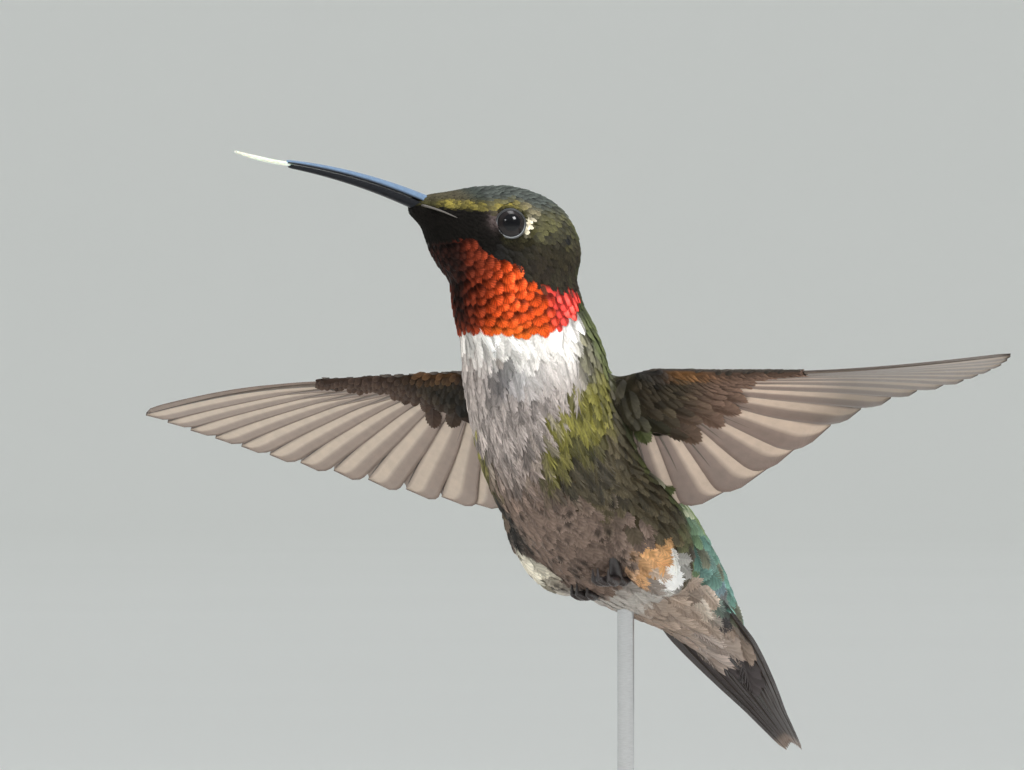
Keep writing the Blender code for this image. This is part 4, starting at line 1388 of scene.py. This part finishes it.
def fringe_and_edge_shade(name, tint, shape, here, chosen):
    """Paler or darker edges of feathers, where their kind has them; the gorget's darker edges carry painted
    shade.
    """
    edge = (ease(shape[:, 3], 0.55, 1.0) * ease(shape[:, 1], 0.3, 0.6))[None, :, None]
    varied = np.clip(0.6 + 0.5 * patches(here.points[chosen] * 2.1), 0.1, 1.0)[:, None, None]
    if name == "belly":
        centre = (ease(shape[:, 3], 0.75, 0.2) * ease(shape[:, 1], 0.35, 0.7))[None, :, None]
        tint = tint * (1 - 0.85 * varied**2 * centre)
        return tint * (1 - 0.5 * edge * varied) + np.array(BELLY_EDGE) * 0.5 * edge * varied
    tone = EDGE_TONES.get(name, 0.0) * edge
    if name == "flank":
        tone = tone * varied
    return tint * (1 + tone) + (0.02 * edge if name == "rump" else 0.0)


COAT_FINISHES = {
    "face": coat_finish("face_feathers", 0.85, gloss=0.08),
    "crown": coat_finish("head_feathers", 0.65, gloss=0.25),
    "cheek": coat_finish("cheek_feathers", 0.75, gloss=0.2),
    "gorget": coat_finish("gorget_feathers", 0.5, metallic=0.55, grain=0.22, gloss=0.2),
    "collar": coat_finish("collar_feathers", 0.8, sheen=0.1),
    "breast": coat_finish("breast_feathers", 0.8, sheen=0.1),
    "belly": coat_finish("belly_feathers", 0.75, sheen=0.05, gloss=0.3),
    "flank": coat_finish("flank_feathers", 0.6, metallic=0.1, gloss=0.35),
    "back": coat_finish("back_feathers", 0.5, metallic=0.2, gloss=0.35),
    "vent": coat_finish("vent_feathers", 0.85, sheen=0.15),
    "undertail": coat_finish("undertail_coverts", 0.7, sheen=0.1),
    "rump": coat_finish("rump_feathers", 0.5, metallic=0.2, gloss=0.3),
    "wing": coat_finish("wing_coverts", 0.65, gloss=0.2),
}

for kind_name, (spots, faces, tints, places) in coat().items():
    maps = [("OFBake", places)]
    make(f"coat_{kind_name}_1", spots, faces, COAT_FINISHES[kind_name], tints, maps)

# ---------------------------------------------------------------- flight feathers and tail


def blade(place, thickness):
    """A flight feather, closed and thin. place(x, y, lift) gives a point at x across, -1 to 1 from its
    leading to its trailing edge with its shaft at 0, and y along. Points come with (x, y)."""
    rows = 30
    across = np.concatenate([np.linspace(-1, 0, 4)[:-1], np.linspace(0, 1, 8)])
    along = np.linspace(0, 1, rows)
    x, y = np.meshgrid(across, along)
    x, y = x.ravel(), y.ravel()
    edge = 1 - np.abs(x) ** 4
    top = place(x, y, thickness * edge / 2)
    bottom = place(x, y, -thickness * edge / 2)
    columns = len(across)
    upper = grid_faces(rows, columns)
    count = rows * columns
    lower = upper[:, ::-1] + count
    rim = [i * columns for i in range(rows)][::-1] + list(range(1, columns))
    rim += [i * columns + columns - 1 for i in range(1, rows)]
    rim += [(rows - 1) * columns + j for j in range(columns - 2, 0, -1)]
    loop = np.array(rim)
    following = np.roll(loop, -1)
    sides = np.stack([loop, loop + count, following + count, following], 1)
    spots, faces = np.concatenate([top, bottom]), np.concatenate([upper, lower, sides])
    return spots, faces, np.tile(np.stack([x, y], 1), (2, 1))


def vane_width(y, tip):
    """How wide a flight feather is at y along it, as a share: narrower at its root, rounded at its tip."""
    root = 0.8 + 0.2 * ease(y, 0.0, 0.35)
    return root * np.sqrt(np.clip(1 - np.clip((y - tip) / (1 - tip), 0, 1) ** 2.2, 0, 1))


# The pale and dark of each wing's vanes, the two wings lit and shaded copies: the pale is painted light
# coming through a single vane, the dark their dusky colour with painted shade where vanes overlap.
# Then what both fade to where a vane is dim, partly its own darker tip and partly painted shade.
VANE_LIT_AND_SHADED_TONES = {
    "left": ((0.58, 0.45, 0.36), (0.21, 0.15, 0.125)),
    "right": ((0.50, 0.40, 0.32), (0.25, 0.185, 0.15)),
}
VANE_DIM_PALE = (0.20, 0.15, 0.11)
VANE_DIM_DARK = (0.09, 0.065, 0.052)
TAIL_BLACK = (0.046, 0.040, 0.044)
TAIL_GREEN = (0.035, 0.07, 0.05)
TAIL_TIP = (0.42, 0.32, 0.26)
TAIL_FEATHERS = 10


def shaft_line(place, count, radius):
    """Points along a flight feather's shaft, and its radius at each, thinning to its tip."""
    along = np.linspace(0.0, 0.985, count)
    middle = np.zeros_like(along)
    return place(middle, along, middle), radius * (1 - along) ** 0.8 + 0.035


def wing_feathers(side):
    """A wing's primaries and secondaries from its tip inwards, and the lines of their shafts."""
    feathers = PRIMARIES + SECONDARIES
    parts, shafts = [], []
    for number in range(feathers):
        middle = (number + 0.5) / feathers
        pitch = 1 / feathers
        primary = number < PRIMARIES
        wave = random.uniform(0, 6)
        length = 1 + random.uniform(-0.012, 0.0)

        def place(x, y, lift):
            shaft = np.stack(feather_place(middle, y * length), -1)
            ahead = np.stack(feather_place(middle, y * length + 0.01), -1)
            behind = np.stack(feather_place(middle + pitch / 2, y * length), -1)
            before = np.stack(feather_place(middle - pitch / 2, y * length), -1)
            along = unit(ahead - shaft)
            beside = np.stack([along[:, 1], -along[:, 0]], -1)
            spacing = ((behind - before) * beside).sum(-1)
            beside = beside * np.sign(spacing)[:, None]
            tip = 0.88 if primary else 0.84
            width = vane_width(y, tip) * (1 - (0.22 if primary else 0.0) * ease(y, 0.45, 0.95))
            reach = np.where(x < 0, 0.45, 1.22) * np.maximum(np.abs(spacing), 0.9) * width
            spot = shaft + beside * (x * reach)[:, None]
            ripple = 0.02 * np.sin(9 * y + wave) * np.maximum(x, 0) ** 2
            slat = 0.10 - 0.17 * (x + 0.4) * ease(y, 0.0, 0.2)
            return wing_point(side, spot[:, 0], spot[:, 1], lift + slat + ripple)

        spots, faces, local = blade(place, 0.05)
        x, y = local[:, 0], local[:, 1]
        # Pale with painted light coming through where the vane is single; dark by its shaft, and with
        # painted shade where it lies over the next one's edge.
        single_lit_through = ease(x, 0.03, 0.14) * ease(x, 0.60, 0.46)
        # Dimmed towards the tips and on the outermost primaries; on the left wing also towards its outer
        # half, as painted shade, while the right wing, the lit copy, is dimmed little.
        dimmed_and_shaded = ease(y, 0.45, 1.0) * (0.6 if primary else 0.2) + 0.24 * max(0, 4 - number)
        out_mm = feather_place(middle, y)[0]
        dimmed_and_shaded = dimmed_and_shaded * 0.15 if side == "right" else dimmed_and_shaded + 1.1 * ease(out_mm, 13, 27)
        pale, dark = VANE_LIT_AND_SHADED_TONES[side]
        pale = layered(pale, len(x), (VANE_DIM_PALE, dimmed_and_shaded))
        dark = layered(dark, len(x), (VANE_DIM_DARK, dimmed_and_shaded))
        colour = dark + (pale - dark) * single_lit_through[:, None]
        # The upper side is painted darker than the underside, whose paleness is painted light coming through
        # it.
        colour[:len(x) // 2] *= 0.55
        column, row = number % 8, number // 8
        atlas = np.stack([(column + 0.5 + 0.46 * x) / 8, (row + 0.02 + 0.96 * y) / 2], 1)
        parts.append((spots, faces, colour, atlas, np.stack([x * 0.5, y], 1)))
        shafts.append(shaft_line(place, 22, 0.20))
    return join(parts), shafts


SHAFT_SIDES = 8
SHAFT_BROWN = (0.06, 0.045, 0.036)
# What a shaft's root has over that.
SHAFT_ROOT_PALE = (0.08, 0.06, 0.045)


def shafts_of(shafts):
    """Tapering shafts along these lines, paler towards their roots."""
    parts = []
    for line, radii in shafts:
        spots, faces = tube(line, radii, SHAFT_SIDES)
        y = np.repeat(np.linspace(0, 1, len(line) + 2), SHAFT_SIDES)
        shade = np.array(SHAFT_BROWN) + np.array(SHAFT_ROOT_PALE) * (1 - y)[:, None]
        parts.append((spots, faces, shade))
    return join(parts)


BARB_SLANT = 0.22
BARB_WAVES = 900.0


def vane_finish(name, roughness, tone, sheen):
    """The smooth vane of a flight feather, with its barbs as fine slanting lines."""
    made = Finish(name, roughness, Sheen_Weight=sheen)
    flat = made.node("UVMap", uv_map="Vane").outputs["UV"]
    parts = made.node("SeparateXYZ", {"Vector": flat})
    aside = made.node("Math", {0: parts.outputs["X"]}, operation="ABSOLUTE").outputs[0]
    slant = {0: aside, 1: -BARB_SLANT, 2: parts.outputs["Y"]}
    slope = made.node("Math", slant, operation="MULTIPLY_ADD").outputs[0]
    lines = made.node("Math", {0: slope, 1: BARB_WAVES}, operation="MULTIPLY").outputs[0]
    wave = made.node("Math", {0: lines}, operation="SINE").outputs[0]
    even = made.node("MapRange", {"Value": wave, "From Min": -1.0})
    cloud = made.noise(0.9, 4.0)
    barred = made.tinted(made.own_colour(), tone, even.outputs["Result"])
    made.base(made.tinted(barred, 0.2, cloud))
    made.rough(cloud, roughness - 0.08, roughness + 0.12)
    made.relief(even.outputs["Result"], 0.5, 0.02)
    return made.material


flight_finish = vane_finish("flight_feathers", 0.45, 0.10, 0.1)
shaft_finish = Finish("feather_shafts", 0.35)
shaft_finish.base(shaft_finish.tinted(shaft_finish.own_colour(), 0.25, shaft_finish.noise(0.5)))
for side in WINGS:
    (spots, faces, tints, atlas, flat), shafts = wing_feathers(side)
    maps = [("OFBake", atlas), ("Vane", flat)]
    piece = make(f"flight_feathers_{side}", spots, faces, flight_finish, tints, maps)
    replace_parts(piece, f"wing_{side}_primaries", f"wing_{side}_secondaries")
    spots, faces, tints = shafts_of(shafts)
    make(f"feather_shafts_{side}", spots, faces, shaft_finish.material, tints)


def rectrices():
    """The tail's feathers, and the lines of their shafts."""
    parts, shafts = [], []
    for number in range(TAIL_FEATHERS):
        middle = (number - (TAIL_FEATHERS - 1) / 2) / 5.4
        toward = 1 if middle > 0 else -1
        wave = random.uniform(0, 6)

        def place(x, y, lift):
            width = vane_width(y, 0.93) * (1 + 0.25 * ease(y, 0.5, 0.9)) + 0.4 * ease(y, 0.3, 0.0)
            narrow = np.where(x * toward > 0, 0.17, 0.30) * width
            across = 1.06 * (middle + x * narrow)
            slat = (0.10 - 0.38 * abs(middle)) * (1 - 0.5 * ease(y, 0.4, 1.0)) - 0.02 * x * toward
            ripple = 0.03 * np.sin(8 * y + wave) * x * x
            return tail_point(np.clip(across, -1.1, 1.1), 0.02 + 1.0 * y, lift + slat + ripple)

        spots, faces, local = blade(place, 0.06)
        x, y = local[:, 0], local[:, 1]
        green = (0.8 if abs(middle) < 0.3 else 0.0) * ease(y, 0.9, 0.4)
        rim = ease(np.abs(x), 0.86, 1.0) * 0.2 + 1.4 * ease(y, 0.925, 0.985)
        colour = layered(TAIL_BLACK, len(x), (TAIL_GREEN, green), (TAIL_TIP, np.clip(rim, 0, 0.8)))
        atlas = np.stack([(number + 0.5 + 0.45 * x) / TAIL_FEATHERS, 0.02 + 0.96 * y], 1)
        parts.append((spots, faces, colour, atlas, np.stack([x * 0.5, y], 1)))
        shafts.append(shaft_line(place, 20, 0.17))
    return join(parts), shafts


(spots, faces, tints, atlas, flat), shafts = rectrices()
tail_finish = vane_finish("tail_feathers", 0.38, 0.15, 0.2)
maps = [("OFBake", atlas), ("Vane", flat)]
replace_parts(make("tail_feathers", spots, faces, tail_finish, tints, maps), "tail")
spots, faces, tints = shafts_of(shafts)
make("tail_shafts", spots, faces, shaft_finish.material, tints * 0.3)

# ---------------------------------------------------------------- bill, tongue and eyes


def bill_line(share):
    """The middle of the bill at share 0 to 1 of its length, from the head's centre."""
    share = np.asarray(share, float)
    rise = math.radians(BILL_RISE - HEAD_PITCH)
    along = BILL_LENGTH * share
    arch = BILL_ARCH * (4 * share * (1 - share))
    forward = BILL_ROOT[0] + along * math.cos(rise) - arch * math.sin(rise)
    up = BILL_ROOT[1] + along * math.sin(rise) + arch * math.cos(rise)
    return forward, up


BILL_BLACK = (0.012, 0.013, 0.016)
# A painted bluish reflection along the top of the upper mandible.
BILL_REFLECTION_BLUE = (0.125, 0.185, 0.275)


def bill_half(name, side, reach):
    """One mandible: a D-shaped tapering blade with its cutting edge rolled a little outwards."""
    rows, columns = 60, 26
    share = np.linspace(0.0, reach, rows)
    radius = BILL_TIP_RADIUS + (BILL_ROOT_RADIUS - BILL_TIP_RADIUS) * (1 - share) ** 0.85
    close = np.sqrt(np.clip((reach - share) / 0.02, 0, 1)) * 0.9 + 0.1
    turn = np.linspace(0, np.pi, columns)
    wide = np.cos(turn)
    tall = np.sin(turn)
    ridge = 0.06 * mound((turn - np.pi / 2, 0.28)) if side > 0 else 0.0
    lip = 0.05 * (mound((turn, 0.12)) + mound((turn - np.pi, 0.12)))
    x = wide * (1 + lip)
    z = 0.12 + tall * (0.88 + ridge)
    x = np.concatenate([x, np.linspace(-0.9, 0.9, 8)])
    z = np.concatenate([z, np.full(8, 0.09)])
    forward, up = bill_line(share)
    rise = math.radians(BILL_RISE - HEAD_PITCH)
    scale = (radius * close)[:, None]
    nostril = 0.0
    if side > 0:
        nostril = 0.16 * mound((share - 0.10, 0.05))[:, None] * mound((z - 0.5, 0.13))[None]
    left = x[None] * scale * (1 - nostril)
    over = side * z[None] * scale
    spots = head_place(left, forward[:, None] - over * math.sin(rise), up[:, None] + over * math.cos(rise))
    total = len(x)
    faces = grid_faces(rows, total, closed=True)
    if side < 0:
        faces = faces[:, ::-1]
    tip = np.array([[(rows - 1) * total + j for j in (0, total // 3, 2 * total // 3, total - 1)]])
    # The upper mandible's top carries the painted reflection.
    low_edge = 0.02 + 0.34 * np.repeat(share, total)
    ridge = ease(np.tile(z, rows), low_edge, low_edge + 0.38) * (side > 0)
    shade = layered(BILL_BLACK, rows * total, (BILL_REFLECTION_BLUE, ridge))
    return make(name, spots, np.concatenate([faces, tip]), bill_finish.material, shade)


bill_finish = Finish("bill_horn", 0.35, Specular_IOR_Level=0.08)
bill_grain = bill_finish.noise(0.35, 5.0)
bill_finish.base(bill_finish.tinted(bill_finish.own_colour(), 0.3, bill_grain))
bill_finish.rough(bill_grain, 0.22, 0.42)
bill_finish.relief(bill_grain, 0.25, 0.03)
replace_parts(bill_half("bill_top", 1, 1.0), "bill_upper")
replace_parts(bill_half("bill_under", -1, 0.98), "bill_lower")


def tongue():
    """The pale tongue past the bill's tip, forked and feathery at its end."""
    forward, up = bill_line(1.0)
    near_forward, near_up = bill_line(0.9)
    along = unit(np.array([forward - near_forward, up - near_up]))
    share = np.linspace(-0.25, 1, 30)
    reach = 0.3 + TONGUE_LENGTH * share
    lift = TONGUE_LIFT * np.maximum(share, 0) ** 2
    parts = []
    for side in (1, -1):
        spread = 0.10 + 0.10 * ease(share, 0.55, 1.0)
        line = head_place(side * spread, forward + along[0] * reach, up + along[1] * reach + lift)
        radius = TONGUE_RADIUS * (0.72 - 0.42 * ease(share, 0.5, 1.0))
        parts.append(tube(line, radius))
    spots, faces = join(parts)
    finish = Finish("tongue", 0.25, Subsurface_Weight=0.3, Subsurface_Scale=0.0004)
    grain = finish.noise(0.3)
    finish.base(finish.ramp(grain, (0.48, 0.54, 0.42), (0.82, 0.86, 0.76)))
    finish.relief(grain, 0.3, 0.03)
    return make("tongue_tip", spots, faces, finish.material)


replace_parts(tongue(), "tongue")

eye_finish = Finish("eye_gloss", 0.05, Specular_IOR_Level=0.2)
eye_finish.base(eye_finish.tinted(eye_finish.own_colour(), 0.3, eye_finish.noise(0.15)))
lid_finish = Finish("eyelids", 0.5)
lid_grain = lid_finish.noise(0.08)
lid_finish.base(lid_finish.tinted(lid_finish.own_colour(), 0.3, lid_grain))
lid_finish.relief(lid_grain, 0.5, 0.03)


PUPIL = (0.003, 0.003, 0.004)
# What the iris has over the pupil.
IRIS = (0.010, 0.007, 0.006)
LID_GREY = (0.93, 0.97, 1.0)
LID_BEADS = 96
LID_SIDES = 10
# A lid's two rings: how far each stands off the eyeball, its radius, and how pale its lower half is.
LID_RINGS = ((0.02, 0.05, 0.28), (0.05, 0.09, 0.05))


def eye_rings(side):
    """An eye's middle, the way it looks, and a function for the ways round that at these angles."""
    middle, axis = eye_of(side)
    up = unit(head_way(0, 0, 1) - axis * (head_way(0, 0, 1) @ axis))
    across = np.cross(up, axis)

    def ring(turn):
        return across * np.cos(turn)[:, None] + up * np.sin(turn)[:, None]

    return middle, axis, ring


def eyeball(name, side):
    """The eyeball, with a slight bulge of the clear front, a dark iris and a black pupil."""
    middle, axis, ring = eye_rings(side)
    rows, columns = 48, 64
    slant = np.linspace(0.001, np.pi - 0.001, rows)
    radius = EYE_RADIUS + 0.06 * mound((slant, 0.42))
    tilt = slant[:, None, None]
    outward = axis * np.cos(tilt) + ring(turns(columns))[None] * np.sin(tilt)
    spots = middle + radius[:, None, None] * outward
    iris = window(slant, 0.50, 0.80, 0.04)
    shade = np.repeat(np.array(PUPIL) + iris[:, None] * np.array(IRIS), columns, axis=0)
    faces = grid_faces(rows, columns, closed=True)
    return make(name, spots.reshape(-1, 3), faces, eye_finish.material, shade)


def eyelid(name, side):
    """The lid round an eye: two beaded rings, the inner one pale below."""
    middle, axis, ring = eye_rings(side)
    turn = turns(LID_BEADS)
    opening = 0.85 - 0.05 * np.sin(turn) + 0.03 * np.cos(turn) ** 2
    around = turns(LID_SIDES)
    near = np.arange(LID_BEADS) * LID_SIDES
    far = np.roll(near, -1)
    sides = [(j, (j + 1) % LID_SIDES) for j in range(LID_SIDES)]
    faces = np.concatenate([np.stack([near + j, far + j, far + k, near + k], 1) for j, k in sides])
    parts = []
    for step, (rise, radius, lower_tint) in enumerate(LID_RINGS):
        slant = (opening + 0.055 * step)[:, None]
        line = middle + (EYE_RADIUS + rise) * (axis * np.cos(slant) + ring(turn) * np.sin(slant))
        beaded = radius * (1 + 0.16 * np.sin(turn * 30 + step))
        inward = unit(middle - line)
        along = unit(np.roll(line, -1, 0) - np.roll(line, 1, 0))
        beside = np.cross(along, inward)
        shape = inward[:, None] * np.cos(around)[None, :, None] * 0.8
        shape = shape + beside[:, None] * np.sin(around)[None, :, None]
        spots = (line[:, None] + beaded[:, None, None] * shape).reshape(-1, 3)
        shade = 0.02 + (lower_tint - 0.02) * ease(np.sin(turn), 0.35, -0.35)
        parts.append((spots, faces, np.repeat(shade, LID_SIDES)[:, None] * np.array(LID_GREY)))
    spots, faces, shade = join(parts)
    make(name, spots, faces, lid_finish.material, shade)


for side, sign in (("left", 1), ("right", -1)):
    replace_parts(eyeball(f"eye_ball_{side}", sign), f"eye_{side}")
    eyelid(f"eyelid_ball_{side}", sign)

# The edge of the mouth's corner, from its front end backwards, as places on the head.
GAPE_LINE = [(1.02, 10.7, 3.2), (1.74, 9.72, 2.96), (2.24, 8.92, 2.72), (2.96, 7.8, 2.28)]


def gape():
    """The pale thin edge of the mouth's corner, on both sides."""
    parts = []
    for side in (1, -1):
        share = np.linspace(0, 1, 14)
        left, forward, up = smooth_line(GAPE_LINE, share).T
        parts.append(tube(head_place(side * left, forward, up), 0.09 * (1 - share) ** 0.5 + 0.02, 8))
    spots, faces = join(parts)
    finish = Finish("mouth_corner", 0.4)
    grain = finish.noise(0.3)
    finish.base(finish.ramp(grain, (0.03, 0.027, 0.024), (0.15, 0.13, 0.112)))
    finish.relief(grain, 0.3, 0.03)
    make("mouth_corners", spots, faces, finish.material)


gape()

# ---------------------------------------------------------------- feet

foot_finish = Finish("foot_scales", 0.45)
foot_grain = foot_finish.noise(0.12, 3.0)
foot_finish.base(foot_finish.ramp(foot_grain, (0.014, 0.011, 0.011), (0.044, 0.035, 0.035)))
foot_finish.relief(foot_grain, 0.4, 0.04)


def limb(places, radii, rings_per_mm=4.0):
    """A scaled tube through these places on the bird, its scales standing out as rings."""
    share = np.linspace(0, 1, 40)
    line = smooth_line([body_place(*p) for p in places], share)
    radius = smooth_number(radii, share)
    run = np.concatenate([[0], np.cumsum(np.linalg.norm(np.diff(line, axis=0), axis=1))])
    scale = 1 + 0.08 * np.abs(np.sin(np.pi * run * rings_per_mm))
    return tube(line, radius * scale)


def foot(side):
    """A leg below the feathers, with three toes in front and one behind, curled as in flight."""
    sign, ankle, knuckle = FEET[side]
    left, forward, up = knuckle
    thigh = (ankle[0], ankle[1] - 0.3, ankle[2] + 1.6)
    parts = [limb([thigh, ankle, knuckle], [0.65, 0.55, 0.62])]
    for spread, reach, curl in ((-0.9, 2.3, 1.5), (0.0, 2.7, 1.6), (0.9, 2.3, 1.5), (0.2, -1.5, 1.2)):
        spread *= sign
        bent = (left + spread * 0.8, forward + reach * 0.55, up - 0.35)
        end = (left + spread, forward + reach, up + curl * 0.1 - 0.3)
        claw = (left + spread * 1.02, forward + reach * 1.08, up + curl * 0.7 - 0.2)
        parts.append(limb([knuckle, bent, end], [0.50, 0.44, 0.32]))
        hook = (end[0], end[1] + 0.12 * np.sign(reach), end[2] + 0.1)
        parts.append(limb([end, hook, claw], [0.30, 0.21, 0.05], 0.0))
    spots, faces = join(parts)
    piece = make(f"foot_and_claws_{side}", spots, faces, foot_finish.material)
    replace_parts(piece, f"foot_{side}")


for side in FEET:
    foot(side)

# ---------------------------------------------------------------- the stand


def turned(profile, segments):
    """A solid of revolution about the stand's axis, from (radius, height) points."""
    turn = turns(segments)
    profile = np.array(profile)
    spots = np.stack(
        [
            profile[:, :1] * np.cos(turn)[None],
            profile[:, :1] * np.sin(turn)[None],
            np.repeat(profile[:, 1:], segments, axis=1),
        ],
        -1,
    )
    return spots.reshape(-1, 3), grid_faces(len(profile), segments, closed=True)


# The middle of a turned solid, a hair wide so that its faces stay whole.
AXIS = 0.001
GROOVE_RADIUS = 23.6


def stand():
    """The base, turned in walnut with a groove near its rim, and the rod in its collar."""
    profile = [(AXIS, 0.0), (12.0, 0.0), (BASE_RADIUS - 0.6, 0.0)]
    profile += [(BASE_RADIUS - 0.25, 0.08), (BASE_RADIUS, 0.6)]
    for a in np.linspace(0, math.pi / 2, 14):
        across = BASE_RADIUS - BASE_RIM + BASE_RIM * math.cos(a)
        profile.append((across, BASE_HEIGHT - BASE_RIM + BASE_RIM * math.sin(a)))
    for a in np.linspace(0, math.pi, 9):
        profile.append((GROOVE_RADIUS + 0.35 * math.cos(a), BASE_HEIGHT - 0.25 * math.sin(a)))
    profile += [(x, BASE_HEIGHT) for x in (20.0, 14.0, 8.0, 2.0, AXIS)]
    spots, faces = turned(profile, 144)
    wood = Finish("walnut", 0.35, Coat_Weight=0.4, Coat_Roughness=0.2)
    bands = wood.noise(5.0, 4.0, (1.0, 0.12, 1.0))
    pores = wood.noise(0.5, 2.0, (1.0, 0.05, 1.0))
    stripes = wood.ramp(bands, (0.055, 0.026, 0.013), (0.21, 0.115, 0.06), 0.3, 0.7)
    wood.base(wood.tinted(stripes, 0.3, pores))
    wood.rough(pores, 0.3, 0.5)
    wood.relief(pores, 0.25, 0.08)
    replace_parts(make("stand_wood_base", spots, faces, wood.material), "stand_base")
    profile = [(AXIS, BASE_HEIGHT), (3.0, BASE_HEIGHT), (3.0, 6.9), (2.8, 7.2), (1.5, 7.4), (1.25, 7.8)]
    profile += [(ROD_RADIUS + 0.02, 8.0)] + [(ROD_RADIUS, h) for h in (8.4, 16.0, 24.0, 32.0, ROD_REACH_MM)]
    profile.append((AXIS, ROD_REACH_MM))
    spots, faces = turned(profile, 40)
    steel = Finish("brushed_rod", 0.3, Metallic=1.0)
    brush = steel.noise(0.5, 3.0, (1.0, 1.0, 14.0))
    steel.base(steel.ramp(brush, (0.42, 0.42, 0.43), (0.66, 0.66, 0.67)))
    steel.rough(brush, 0.22, 0.42)
    steel.relief(brush, 0.15, 0.03)
    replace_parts(make("stand_steel_rod", spots, faces, steel.material), "stand_rod")


stand()

# ---------------------------------------------------------------- stage, light and camera


def stage():
    """A pale floor that curves up all round into the backdrop."""
    floor_radius, wall_radius, wall_height = 6.4, 8.4, 7.0
    profile = [(0.0001, 0.0), (0.5, 0.0), (1.5, 0.0), (3.5, 0.0), (floor_radius, 0.0)]
    for a in np.linspace(0, math.pi / 2, 16)[1:]:
        across = floor_radius + (wall_radius - floor_radius) * math.sin(a)
        profile.append((across, (wall_radius - floor_radius) * (1 - math.cos(a))))
    profile.append((wall_radius, wall_height))
    spots, faces = turned(np.array(profile) / MM, 96)
    pale = Finish("pale_backdrop", 0.9)
    pale.base(pale.ramp(pale.noise(400.0, 2.0), (0.87, 0.88, 0.85), (0.90, 0.91, 0.88)))
    mesh = bpy.data.meshes.new("floor")
    mesh.from_pydata((spots * MM).tolist(), [], faces[:, ::-1].tolist())
    mesh.polygons.foreach_set("use_smooth", np.full(len(faces), True))
    mesh.materials.append(pale.material)
    added("floor", mesh)


stage()

VIEW_TURN = math.radians(38.0)
TOWARD_CAMERA = Vector((math.sin(VIEW_TURN), -math.cos(VIEW_TURN), 0.0))
CAMERA_RIGHT = Vector((math.cos(VIEW_TURN), math.sin(VIEW_TURN), 0.0))
AIM = Vector((-3.87, -12.52, 52.2)) * MM
FRAME_WIDTH_MM = 96.6
CAMERA_AWAY = 2.4
SENSOR_MM = 36.0


def aim_at(obj, place, target):
    """Puts a light or camera at a place, facing the target."""
    obj.location = place
    obj.rotation_euler = (target - place).to_track_quat("-Z", "Y").to_euler()


def softbox(name, power, width, right, toward, up):
    """A soft square light, placed from the bird along the camera's right, towards it, and up."""
    light = bpy.data.lights.new(name, "AREA")
    light.energy = power
    light.shape = "RECTANGLE"
    light.size, light.size_y = width, width
    light.spread = math.radians(50.0)
    place = AIM + CAMERA_RIGHT * right + TOWARD_CAMERA * toward + Vector((0, 0, up))
    aim_at(added(name, light), place, AIM)


softbox("key_light", 1.7, 0.45, 0.75, 0.65, 1.0)
softbox("fill_light", 0.3, 0.24, -0.75, 1.3, 0.95)
softbox("top_light", 0.9, 0.7, 0.2, -0.1, 1.4)

bpy.context.scene.view_settings.view_transform = "Standard"
world = bpy.data.worlds.new("studio")
world.use_nodes = True
backdrop = world.node_tree.nodes["Background"]
backdrop.inputs["Color"].default_value = (0.95, 0.97, 1.0, 1.0)
backdrop.inputs["Strength"].default_value = 0.75
bpy.context.scene.world = world

camera_data = bpy.data.cameras.new("camera")
camera_data.sensor_width = SENSOR_MM
camera_data.lens = SENSOR_MM * CAMERA_AWAY / (FRAME_WIDTH_MM * MM)
camera_data.clip_start = 0.02
camera_data.clip_end = 30.0
camera = added("camera", camera_data)
aim_at(camera, AIM + TOWARD_CAMERA * CAMERA_AWAY, AIM)
bpy.context.scene.camera = camera
